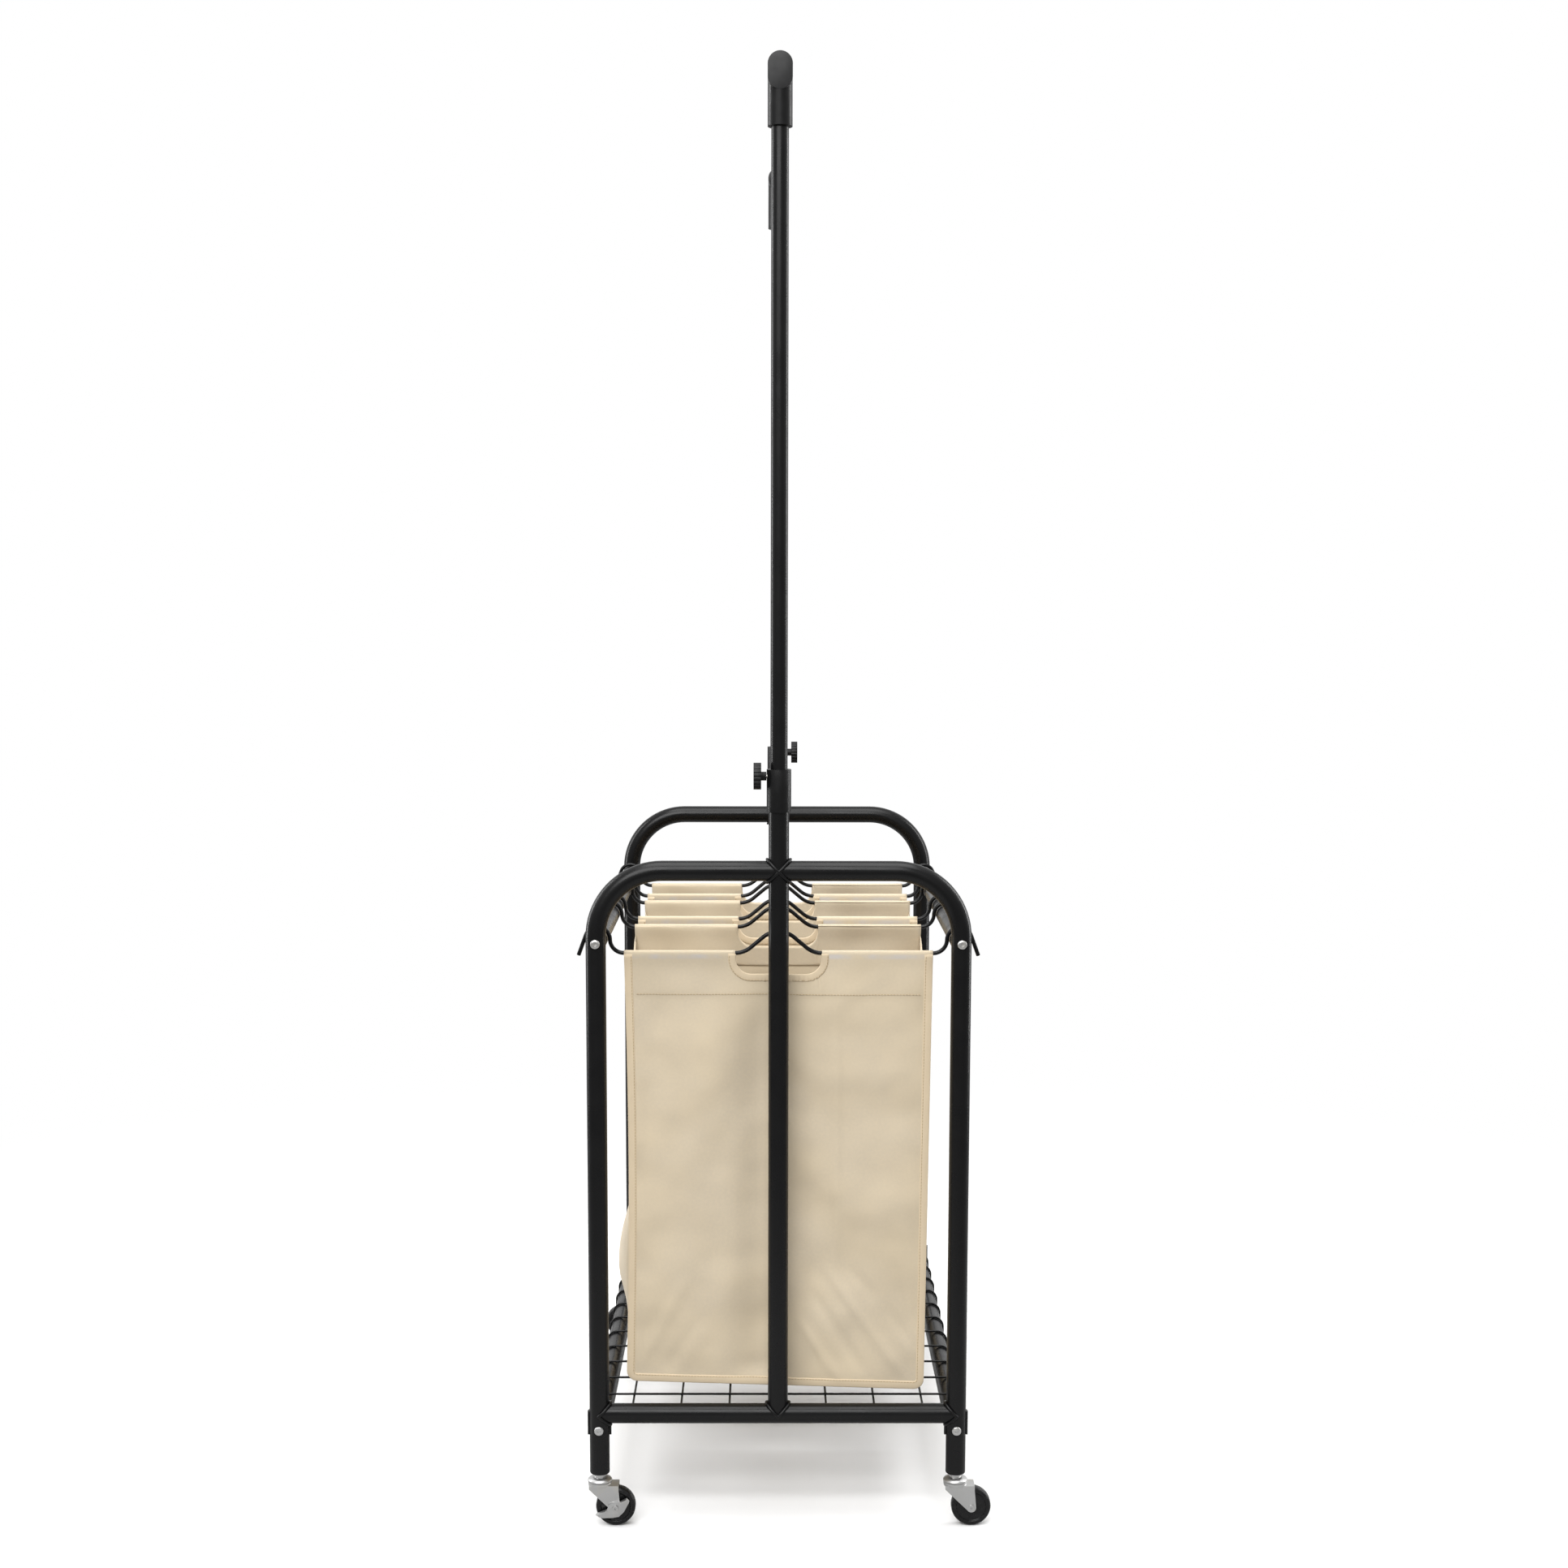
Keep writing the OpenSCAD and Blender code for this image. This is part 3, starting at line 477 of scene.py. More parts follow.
def bag_cloth(name, colour):
    """Plain-woven bag cloth with soft mottling, rumples and the wire's shadow in the hem."""
    s = Shader(name)
    s.set(Sheen_Weight=0.15, Sheen_Roughness=0.5, Specular_IOR_Level=0.25)
    weave, split = woven(s, 0.55 * MM)
    mottle = s.noise(7, 3, 0.55, "UV")
    slub = s.noise(260, 2, 0.5, "UV")
    cool = tuple(c * k for c, k in zip(colour, (0.95, 0.965, 1.01)))
    tone = s.mix(s.range(mottle, 0.3, 0.7, smooth=True), cool, shaded(colour, 1.03))
    tone = s.mix(s.range(slub, 0.35, 0.75, 0, 0.35), tone, shaded(colour, 1.1))
    depth = s.math("ABSOLUTE", s.math("ADD", split.outputs[1], 4.0 * MM))
    shadow = s.range(depth, 1.0 * MM, 4.5 * MM, 0.5, 0, smooth=True)
    patchy = s.math("MULTIPLY", shadow, s.range(s.noise(24, 3, 0.6, "UV"), 0.40, 0.62))
    tone = s.mix(patchy, tone, (0.50, 0.51, 0.56))
    rumple = s.bump(s.noise(8, 1.5, 0.4, "UV"), 26 * MM, 1.0)
    height = s.math("ADD", weave, s.math("MULTIPLY", s.noise(90, 4, 0.6, "UV"), 1.5))
    return s.finish(tone, s.range(mottle, 0.3, 0.7, 0.78, 0.9),
                    s.bump(height, 0.06 * MM, 0.5, rumple))


def bag_tape(name, colour):
    """Binding tape with a fine fibrous grain."""
    s = Shader(name)
    s.set(Sheen_Weight=0.12, Sheen_Roughness=0.5, Specular_IOR_Level=0.25)
    fibres = s.noise(1400, 2, 0.6)
    return s.finish(s.mix(s.noise(40, 3), shaded(colour, 0.93), shaded(colour, 1.05)),
                    s.range(fibres, 0.3, 0.7, 0.7, 0.88), s.bump(fibres, 0.08 * MM, 0.5))


def sewing_thread(name, colour):
    """Sewing thread with a fine fibrous grain; its darker colour is partly the thread's own and
    partly painted shade along the bindings' edges.
    """
    s = Shader(name)
    s.set(Sheen_Weight=0.2, Specular_IOR_Level=0.3)
    fibres = s.noise(2600, 2)
    return s.finish(s.mix(fibres, shaded(colour, 0.8), shaded(colour, 1.1)),
                    s.range(fibres, 0.3, 0.7, 0.55, 0.75), s.bump(fibres, 0.05 * MM, 0.6))


def make_materials():
    """One material for each finish, named for the record's material slots."""
    look = bpy.context.scene.sorter_finish
    coat, plastic = tuple(look.coat_colour), tuple(look.plastic_colour)
    return {
        "tube_black": coated_steel("powder_coat", coat),
        "wire_black": coated_steel("coated_wire", coat, gloss=0.24, grain=1200),
        "plastic_black": moulded_plastic("black_plastic", plastic),
        "knob_black": moulded_plastic("knob_plastic", plastic, gloss=0.42, grain=1100),
        "wheel_black": tyre_plastic("wheel_plastic", plastic),
        "zinc": plated_zinc("zinc_plate", tuple(look.zinc_colour)),
        "brass": turned_brass("brass", (0.70, 0.50, 0.22)),
        "cloth_cream": bag_cloth("bag_cloth", tuple(look.cloth_colour)),
        "tape": bag_tape("binding_tape", tuple(look.tape_colour)),
        "thread": sewing_thread("sewing_thread", tuple(look.thread_and_edge_shade_colour)),
    }


FINISHES = {}


def finish_of(slot):
    """The material of a slot, made once."""
    if not FINISHES:
        FINISHES.update(make_materials())
    return FINISHES[slot]


def slot_of(node):
    """The record's material slot of a CAD node."""
    rows = frame["record"]["subparts"]
    return next(r["material_slot"] for r in rows if r["node"] == node)


def new_piece(obj, body, slot=None, finish=None):
    """Gives a new piece the finish of its slot, or the finish given, and the body that it rides on.
    """
    dress(obj, finish_of(finish or slot))
    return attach(obj, body)


# ---------- frame and hardware ----------


class SORTER_OT_finishes(bpy.types.Operator):
    """Gives every CAD node the finish of its material slot"""

    bl_idname = "sorter.finishes"
    bl_label = "Finish the frame"

    def execute(self, context):
        for node, obj in frame["nodes"].items():
            dress(obj, finish_of(slot_of(node)))
        return {"FINISHED"}


def rounded_copy(node, width, segments=2, sharp=math.radians(32)):
    """A copy of a CAD node's solid with its sharp edges rounded off, standing for the node."""
    obj = bpy.data.objects.new(f"{node}_rounded", frame["nodes"][node].data.copy())
    bpy.context.scene.collection.objects.link(obj)
    activate(obj)
    bpy.ops.mesh.customdata_custom_splitnormals_clear()
    with editing(obj):
        bpy.ops.mesh.remove_doubles(threshold=0.01 * MM)
        bpy.ops.mesh.dissolve_limited(angle_limit=math.radians(1.5))
        bpy.ops.mesh.normals_make_consistent(inside=False)
    apply_modifier(obj, "BEVEL", width=width, segments=segments, limit_method="ANGLE",
                   angle_limit=sharp, use_clamp_overlap=True)
    bpy.ops.object.shade_smooth_by_angle(angle=math.radians(40))
    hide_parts(node)
    new_piece(obj, frame["nodes"][node]["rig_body"], slot_of(node))


class SORTER_OT_hardware(bpy.types.Operator):
    """Rounds the edges of the casters, clamps, elbows and bolts"""

    bl_idname = "sorter.hardware"
    bl_label = "Round the hardware"

    def execute(self, context):
        legs = [f"{end}_{side}" for end in ENDS for side in SIDES]
        for leg in legs:
            rounded_copy(f"{leg}_fork", 0.35 * MM)
            rounded_copy(f"{leg}_stem", 0.5 * MM)
            rounded_copy(f"{leg}_axle", 0.4 * MM)
            rounded_copy(f"{leg}_wheel", 0.9 * MM, 3, math.radians(20))
        for node in ("front_left_brake", "rear_right_brake", "stem_nuts"):
            rounded_copy(node, 0.3 * MM)
        for end in ENDS:
            rounded_copy(f"{end}_knob", 0.5 * MM)
            rounded_copy(f"{end}_elbow", 2.2 * MM, 4)
            rounded_copy(f"{end}_collar", 0.6 * MM, 3)
        rounded_copy("frame_bolts", 0.25 * MM)
        return {"FINISHED"}


# ---------- welds ----------


def seam_bead(name):
    """A bead round the seam where a tube ends square on one of its own size.

    It stands at the origin, with the ending tube upwards and the other one along X."""
    look = bpy.context.scene.sorter_weld
    bpy.ops.object.select_all(action="DESELECT")
    bpy.ops.mesh.primitive_torus_add(major_segments=56, minor_segments=12,
                                     major_radius=Sizes.tube_r + look.stand * look.bead_r,
                                     minor_radius=look.bead_r, rotation=(0, -math.pi / 4, 0))
    bead = bpy.context.object
    bead.name = name
    bead.scale = (math.sqrt(2), 1, 1)
    bpy.ops.object.transform_apply(location=True, rotation=True, scale=True)
    with editing(bead):
        bpy.ops.mesh.bisect(plane_co=(0, 0, 0), plane_no=(1, 0, 0), clear_inner=True)
    mirrored(bead)
    return bead


def weld(bead, centre, turn):
    """A copy of the bead, turned about Y and set at its seam."""
    copy = bpy.data.objects.new("weld", bead.data.copy())
    bpy.context.scene.collection.objects.link(copy)
    activate(copy)
    copy.rotation_euler = (0, turn, 0)
    copy.location = centre
    bpy.ops.object.transform_apply(location=True, rotation=True, scale=True)
    return copy


class SORTER_OT_welds(bpy.types.Operator):
    """Lays the weld beads where the end frames' tubes meet"""

    bl_idname = "sorter.welds"
    bl_label = "Lay the welds"

    def execute(self, context):
        bead = seam_bead("bead")
        right = math.pi / 2
        for end, out in (("front", -1), ("rear", 1)):
            y = out * Sizes.leg_y
            welds = [weld(bead, (0, y, Sizes.hoop_z), turn) for turn in (0, 2 * right)]
            welds.append(weld(bead, (0, y, Sizes.crossbar_z), 0))
            for side in (-1, 1):
                welds.append(weld(bead, (side * Sizes.leg_x, y, Sizes.crossbar_z), -side * right))
            new_piece(join(f"{end}_frame_welds", welds), "root", "tube_black")
        bpy.data.objects.remove(bead)
        return {"FINISHED"}


# ---------- hanger wires ----------


def bent_bar(name, radius, place, bends, sides=14, step=math.radians(7.5)):
    """A round bar that starts along X and is bent in the XZ plane.

    Each of its bends is (straight length, bend radius, turn), turning up when positive."""
    x, y, z = place
    bpy.ops.object.select_all(action="DESELECT")
    bpy.ops.mesh.primitive_circle_add(vertices=sides, radius=radius, location=place,
                                      rotation=(0, math.pi / 2, 0))
    bar = bpy.context.object
    bar.name = name
    bpy.ops.object.transform_apply(location=True, rotation=True, scale=True)
    heading = 0.0
    with editing(bar):
        for length, bend_r, turn in bends:
            if length:
                move = (length * math.cos(heading), 0, length * math.sin(heading))
                bpy.ops.mesh.extrude_region_move(TRANSFORM_OT_translate={"value": move})
                x, z = x + move[0], z + move[2]
            if turn:
                reach = math.copysign(bend_r, turn)
                cx, cz = x - reach * math.sin(heading), z + reach * math.cos(heading)
                bpy.ops.mesh.spin(steps=math.ceil(abs(turn) / step), angle=turn,
                                  center=(cx, y, cz), axis=(0, 1, 0))
                heading += turn
                x, z = cx + reach * math.sin(heading), cz - reach * math.cos(heading)
        bpy.ops.mesh.edge_face_add()
        bpy.ops.mesh.bevel(offset=0.4 * radius, segments=3, affect="EDGES")
    return bar


def hanger_bends():
    """The bends of a hanger's right half, from the top of its arch to the tip of its hook."""
    look = bpy.context.scene.sorter_hanger
    a = look.arch_angle
    arch_r = (look.arch_half - look.arch_rise / math.tan(a)) * math.sin(a) / (1 - math.cos(a)) / 2
    slope = (look.arch_rise - 2 * arch_r * (1 - math.cos(a))) / math.sin(a)
    straight_x = Sizes.leg_x - look.hook_r - look.bend_r
    return [(0, arch_r, -a), (slope, arch_r, a),
            (straight_x - look.arch_half, look.bend_r, math.pi / 2),
            (0, look.hook_r, -look.hook_turn), (look.hook_tip, 0, 0)]


class SORTER_OT_hangers(bpy.types.Operator):
    """Bends the six hanger wires that carry the bags"""

    bl_idname = "sorter.hangers"
    bl_label = "Bend the hanger wires"

    def execute(self, context):
        look = context.scene.sorter_hanger
        for number in BAGS:
            bag = Bag(number)
            for end, y, body in (("front", bag.front_y, f"bag_{number}_front"),
                                 ("rear", bag.back_y, f"bag_{number}")):
                wire = bent_bar(f"bag_{number}_{end}_wire", look.wire_r,
                                (0, y, bag.wire_z + look.arch_rise), hanger_bends())
                mirrored(wire)
                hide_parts(f"bag_{number}_{end}_hanger")
                new_piece(wire, body, "wire_black")
        return {"FINISHED"}


# ---------- bags ----------


PANEL_TILT = {1: 0.030, 2: -0.012, 3: 0.016}  # slope of each bag's bottom edge
PANEL_PULL = {1: (4.0, 6.5), 2: (5.0, 4.0), 3: (6.0, 5.0)}  # left and right edges drawn in, in mm
WAVE_RANGES = ((6, 22), (2, 9), (0, 6.3), (0.4, 1.0))  # across, down, phase and size of a wave
PUCKER_HEIGHT = 0.9 * MM
PUCKER_PITCH = 1.05 * MM
PUCKER_SPAN = 9 * MM
PUCKER_MIDDLE = 22 * MM
HEM_GAP = 0.62 * MM  # a flat hem layer's distance from the panel's middle plane
HEM_TAPER = 13 * MM  # how far below the wire the hem closes
HOLE_TAPE_W = 9.5 * MM
INNER_SHIFT = 20 * MM  # keeps the hem's inner layer on its own part of the weave
PROBE = 0.5 * MM  # step for finding the cloth's slope
BAND_SECTION = (  # a folded binding, in shares of its width and of half its thickness
    (-0.5, 0.0), (-0.47, 0.72), (-0.36, 1.0), (0.0, 1.04), (0.36, 1.0), (0.47, 0.80),
    (0.5, 0.45), (0.5, -0.45), (0.47, -0.80), (0.36, -1.0), (0.0, -1.04), (-0.36, -1.0),
    (-0.47, -0.72))
STITCH_PROFILE = ((-0.5, 0.25), (-0.36, 0.85), (0.0, 1.0), (0.36, 0.85), (0.5, 0.25))
STITCH_SIDES = 6


class Crease:
    """A straight fold in a panel, from one point to another, both in millimetres as (x, depth).

    height is how far it stands out, and width how wide it is; it fades in and out at its ends."""

    def __init__(self, start, end, height, width):
        self.start = np.array(start, float) * MM
        self.end = np.array(end, float) * MM
        self.height = height * MM
        self.width = width * MM

    def at(self, x, v):
        """How far the fold stands out at a place."""
        line = self.end - self.start
        length = np.linalg.norm(line)
        line = line / length
        dx, dv = x - self.start[0], v - self.start[1]
        along = (dx * line[0] + dv * line[1]) / length
        across = (dx * line[1] - dv * line[0]) / self.width
        fade = smoothstep(-0.12, 0.25, along) * smoothstep(1.12, 0.75, along)
        return self.height * np.exp(-across * across) * fade


PANEL_CREASES = {
    "bag_1_front": [
        Crease((-16, 40), (-24, 620), -11, 30), Crease((73, 85), (76, 405), 2.2, 5),
        Crease((40, 150), (46, 560), -3.5, 22), Crease((112, 60), (96, 300), 2.5, 26),
        Crease((60, 400), (168, 545), 2.6, 6), Crease((42, 430), (120, 548), -2.4, 8),
        Crease((88, 395), (176, 500), -2.0, 8), Crease((26, 470), (82, 552), 2.0, 6),
        Crease((120, 430), (180, 520), 1.8, 6), Crease((140, 330), (176, 470), -1.6, 12),
        Crease((-118, 420), (-178, 542), 1.7, 8), Crease((-96, 470), (-150, 548), -1.5, 9),
        Crease((-150, 60), (-172, 260), -2.6, 16), Crease((-95, 80), (-110, 420), 3.0, 30),
        Crease((150, 10), (60, 70), 1.6, 12), Crease((-60, 250), (-64, 520), 2.2, 20),
    ],
}


def random_creases(seed, half, drop):
    """Soft vertical folds and a few slanting creases for a panel that is mostly hidden."""
    rng = np.random.default_rng(seed)
    creases = []
    for k in range(5):
        x = (-0.72 + 0.36 * k + rng.uniform(-0.1, 0.1)) * half
        sign = -1 if k % 2 else 1
        start = (x, rng.uniform(40, 90))
        end = (x + rng.uniform(-16, 16), drop - rng.uniform(0, 90))
        creases.append(Crease(start, end, sign * rng.uniform(3.0, 6.5), rng.uniform(16, 30)))
    for side in (-1, 1):
        for _ in range(3):
            x = side * rng.uniform(0.35, 0.7) * half
            v = drop - rng.uniform(70, 150)
            end = (x + side * rng.uniform(30, 60), v + rng.uniform(50, 90))
            creases.append(Crease((x, v), end, rng.uniform(-2.2, 2.2), rng.uniform(6, 10)))
    return creases


class Panel:
    """The cloth surface of a bag's front or back. out is -1 on the front and 1 on the back."""

    def __init__(self, bag, end):
        self.bag = bag
        self.out = -1 if end == "front" else 1
        self.y = bag.front_y if end == "front" else bag.back_y
        self.look = bpy.context.scene.sorter_bag
        key = f"bag_{bag.number}_{end}"
        self.creases = PANEL_CREASES.get(key) or random_creases(
            10 * bag.number + self.out, bag.half / MM, bag.drop / MM)
        rng = np.random.default_rng(100 * bag.number + self.out)
        self.waves = [[rng.uniform(*pair) for pair in WAVE_RANGES] for _ in range(6)]
        self.tilt = PANEL_TILT[bag.number]
        self.pull = PANEL_PULL[bag.number]

    def edge(self, side, v):
        """How far the left (-1) or right (1) edge stands from the middle at a depth."""
        t = np.clip(np.asarray(v, float) / self.bag.drop, 0, 1)
        left = self.bag.half - self.pull[0] * MM * np.sin(math.pi * t)
        right = self.bag.half - self.pull[1] * MM * t
        return np.where(side < 0, left, right)

    def bottom(self, x):
        """How far the bottom edge hangs below its middle, from the bag's tilt."""
        return self.tilt * np.asarray(x, float)

    def fold(self, x, v):
        """How far the cloth stands out at a nominal place, before its hem."""
        bag = self.bag
        free = smoothstep(1.0, 0.86, np.abs(x) / bag.half) * smoothstep(0, 0.09, v / bag.drop)
        free = free * smoothstep(1.0, 0.95, v / bag.drop)
        total = sum(c.at(x, v) for c in self.creases)
        for across, down, phase, share in self.waves:
            wave = np.sin(across * x / bag.half / 2 + phase) * np.cos(down * v / bag.drop + phase)
            total = total + share * 0.5 * MM * wave
        row = bump_at(v, self.look.hole_depth + PUCKER_SPAN, PUCKER_SPAN)
        puckers = PUCKER_HEIGHT * np.sin(x / PUCKER_PITCH) * row
        puckers = puckers * smoothstep(58 * MM, 30 * MM, np.abs(x - PUCKER_MIDDLE))
        return total * free + puckers * smoothstep(0, 1, v / (30 * MM))

    def hem(self, v, layer):
        """Distance of a hem layer from the panel's middle plane: 1 is outer, -1 inner."""
        depth = self.look.hem_depth
        flat = HEM_GAP * smoothstep(depth + 1.5 * MM, depth - 1.5 * MM, v)
        return layer * (flat + (self.bag.wrap_r - HEM_GAP) * np.exp(-((v / HEM_TAPER) ** 2)))

    def place(self, x, v, layer=1):
        """Points of a layer of the cloth at nominal x and depth v below the wire."""
        x, v = np.asarray(x, float), np.asarray(v, float)
        side = np.where(x < 0, -1, 1)
        scale = self.edge(side, v) / self.bag.half
        drop = v + self.bottom(x) * np.clip(v / self.bag.drop, 0, 1)
        y = self.y + self.out * (self.fold(x, v) + self.hem(v, layer))
        return np.stack([x * scale, y, self.bag.wire_z - drop], axis=-1)

    def lifted(self, x, v, lift):
        """Points lifted off the outer layer along the cloth's own normal."""
        base = self.place(x, v)
        normal = np.cross(self.place(x + PROBE, v) - self.place(x - PROBE, v),
                          self.place(x, v + PROBE) - self.place(x, v - PROBE))
        normal /= np.linalg.norm(normal, axis=-1)[..., None]
        normal *= np.sign(normal[..., 1:2]) * self.out
        return base + normal * np.asarray(lift, float)[..., None]


def hole_edge(look, x):
    """Depth of the hand hole's edge below the wire at a distance from the middle."""
    inner = look.hole_half - look.hole_corner_r
    reach = np.clip(np.abs(x) - inner, 0, look.hole_corner_r)
    return look.hole_depth - look.hole_corner_r + np.sqrt(look.hole_corner_r**2 - reach**2)


def panel_columns(panel):
    """Nominal x of the grid's columns, close together around the hand hole's corners."""
    look, half = panel.look, panel.bag.half
    inner = look.hole_half - look.hole_corner_r
    corner = inner + look.hole_corner_r * np.sin(np.radians(np.arange(0, 91, 10)))
    middle = np.linspace(0, inner, 12)[:-1]
    outer = np.linspace(look.hole_half, half, 32)[1:]
    right = np.concatenate([middle, corner, outer])
    return np.concatenate([-right[:0:-1], right])


def rounded_ends(panel, x, v):
    """Draws a row's ends in where it passes the rounded bottom corners."""
    r, half = panel.look.corner_r, panel.bag.half
    past = np.clip((v - (panel.bag.drop - r)) / r, 0, 0.998)
    beyond = np.clip(np.abs(x) - (half - r), 0, None)
    return np.sign(x) * (np.abs(x) - beyond * (1 - np.sqrt(1 - past * past)))


def panel_sheet(panel, name):
    """The panel's cloth: up the inside of the hem, over the wire and down to the bottom."""
    look, bag = panel.look, panel.bag
    x = panel_columns(panel)
    in_hole = np.abs(x) < look.hole_half - 1e-9
    side_v = look.hole_depth - look.hole_corner_r
    top_v = np.where(in_hole, hole_edge(look, x), side_v)
    shares = np.linspace(0, 1, 11)
    rise = np.linspace(0, side_v, 4)[:-1]
    hem_rows = [top_v + (look.hem_depth - top_v) * s for s in shares]
    below = np.linspace(look.hem_depth, bag.drop - look.corner_r, 90)[1:]
    below = [*below, *(bag.drop - look.corner_r * np.cos(np.radians((20, 40, 60, 75, 90))))]
    inner_rows = [(r, -1) for r in hem_rows[::-1]]
    inner_rows += [(np.full_like(x, v), -1) for v in rise[::-1]]
    outer_rows = [(np.full_like(x, v), 1) for v in rise] + [(r, 1) for r in hem_rows]
    outer_rows += [(np.full_like(x, v), 1) for v in below]
    rows, uvs = [], []
    for v, layer in inner_rows:
        rows.append(panel.place(x, v, layer=layer))
        uvs.append(np.column_stack([x, v + INNER_SHIFT]))
    r = bag.wrap_r
    for a in np.radians(np.arange(150, 29, -30)):
        top = panel.place(x, np.zeros_like(x))
        top[:, 1] = panel.y + panel.out * r * math.cos(a)
        top[:, 2] = bag.wire_z + r * math.sin(a)
        rows.append(top)
        uvs.append(np.column_stack([x, np.full_like(x, r * math.sin(a))]))
    first_outer = len(rows)
    for v, layer in outer_rows:
        rows.append(panel.place(rounded_ends(panel, x, v), v, layer=layer))
        uvs.append(np.column_stack([x, -v]))
    open_from = len(hem_rows) - 1
    open_to = first_outer + len(rise)
    count = len(x)

    def keep(i, j):
        return not (open_from <= i < open_to and in_hole[j] | in_hole[j + 1])

    faces = grid_faces(len(rows), count, keep=keep)
    obj = mesh_piece(name, np.vstack(rows), faces, np.vstack(uvs))
    with editing(obj):
        bpy.ops.mesh.delete_loose()
    apply_modifier(obj, "SOLIDIFY", thickness=look.cloth_t, offset=0)
    return obj


def along_path(path, step):
    """Points at even steps along a path in the panel's own (x, v), and their unit tangents."""
    path = np.asarray(path, float)
    gaps = np.linalg.norm(np.diff(path, axis=0), axis=1)
    total = np.concatenate([[0], np.cumsum(gaps)])
    at = np.linspace(0, total[-1], max(2, round(total[-1] / step)) + 1)
    points = np.column_stack([np.interp(at, total, path[:, k]) for k in (0, 1)])
    tangents = np.gradient(points, axis=0)
    return points, tangents / np.linalg.norm(tangents, axis=1)[:, None]


def border_path(panel, inset):
    """Down the left edge, along the bottom and up the right edge, inset from the edges."""
    look, bag = panel.look, panel.bag
    half, drop = bag.half - inset, bag.drop - inset
    r = max(look.corner_r - inset, 1 * MM)
    turn = np.radians(np.arange(0, 91, 10))
    left = [(-half, 1 * MM)]
    left += [(-half + r - r * math.cos(a), drop - r + r * math.sin(a)) for a in turn]
    right = [(-x, v) for x, v in left[::-1]]
    return left + right


def hole_path(look, outset):
    """Around the hand hole's edge from left to right, set out from it."""
    inner = look.hole_half - look.hole_corner_r
    r = look.hole_corner_r + outset
    mid_v = look.hole_depth - look.hole_corner_r
    turn = np.radians(np.arange(0, 91, 7.5))
    left = [(-look.hole_half - outset, 0.5 * MM)]
    left += [(-inner - r * math.cos(a), mid_v + r * math.sin(a)) for a in turn]
    return left + [(-x, v) for x, v in left[::-1]]


def tape(panel, name, path, width, step=4 * MM, wrap=1.0):
    """A binding folded over an edge: a flat band on both faces of the cloth along a path."""
    points, tangents = along_path(path, step)
    across = np.column_stack([-tangents[:, 1], tangents[:, 0]])
    half_t = panel.look.tape_t / 2 * wrap
    columns = []
    for a, b in BAND_SECTION:
        q = points + across * a * width
        columns.append(panel.lifted(q[:, 0], q[:, 1], np.full(len(q), b * half_t)))
    rows = np.stack(columns, axis=1)
    sides = len(BAND_SECTION)
    last = (len(rows) - 1) * sides
    faces = grid_faces(len(rows), sides, closed=True)
    faces += [tuple(range(sides)), tuple(range(last, last + sides))[::-1]]
    return recalculate(mesh_piece(name, rows.reshape(-1, 3), faces))


def stitches(panel, name, paths, lift):
    """Rows of short raised stitches along paths on the panel, on its outer face."""
    look = panel.look
    pitch = look.stitch_l + look.stitch_gap
    ring = 2 * math.pi * np.arange(STITCH_SIDES) / STITCH_SIDES
    last = STITCH_SIDES * (len(STITCH_PROFILE) - 1)
    one = grid_faces(len(STITCH_PROFILE), STITCH_SIDES, closed=True)
    one += [tuple(range(STITCH_SIDES))[::-1], tuple(range(last, last + STITCH_SIDES))]
    points, faces = [], []
    for path in paths:
        centres, tangents = along_path(path, pitch)
        x, v = centres[1:-1].T
        step = tangents[1:-1] * PROBE
        low = np.full(len(x), lift)
        here = panel.lifted(x, v, low)
        ahead = panel.lifted(x + step[:, 0], v + step[:, 1], low)
        above = panel.lifted(x, v, low + PROBE)
        for p, a, n in zip(here, ahead - here, above - here):
            a, n = a / np.linalg.norm(a), n / np.linalg.norm(n)
            b = np.cross(a, n)
            base = len(points)
            for along, swell in STITCH_PROFILE:
                for turn in ring:
                    spoke = b * math.cos(turn) * 1.3 + n * math.sin(turn)
                    points.append(p + a * along * look.stitch_l + swell * look.thread_r * spoke)
            faces += [tuple(base + k for k in face) for face in one]
    return recalculate(mesh_piece(name, points, faces))


def hem_path(look, half):
    """The stitch line along the hem."""
    v = look.hem_depth - 1.2 * MM
    return [(-half + 12 * MM, v), (half - 12 * MM, v)]


class SORTER_OT_bag_panels(bpy.types.Operator):
    """Sews the front and back panels with their hems, hand holes, bindings and stitching"""

    bl_idname = "sorter.bag_panels"
    bl_label = "Sew the bag panels"

    def execute(self, context):
        look = context.scene.sorter_bag
        for number in BAGS:
            bag = Bag(number)
            name = f"bag_{number}"
            for end, body, node, wire in (("front", f"{name}_front", "front_panel", "front_wire"),
                                          ("back", name, "shell", "rear_wire")):
                panel = Panel(bag, end)
                stem = f"{name}_{end}"
                sheet = panel_sheet(panel, f"{stem}_cloth")
                edge = tape(panel, f"{stem}_binding", border_path(panel, look.tape_w / 2),
                            look.tape_w)
                hole = tape(panel, f"{stem}_hole_binding", hole_path(look, 0.42 * HOLE_TAPE_W),
                            HOLE_TAPE_W, 2 * MM, 0.9)
                seams = [border_path(panel, look.tape_w - 1.8 * MM), hem_path(look, bag.half),
                         hole_path(look, 7.4 * MM)]
                # The dark stitches also paint the shade lines along the bindings' edges.
                thread = stitches(panel, f"{stem}_stitching", seams,
                                  look.tape_t / 2 + 0.1 * MM)
                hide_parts(f"{name}_{node}")
                for piece, finish in ((sheet, None), (edge, "tape"), (hole, "tape"),
                                      (thread, "thread")):
                    new_piece(piece, body, "cloth_cream", finish)
        return {"FINISHED"}


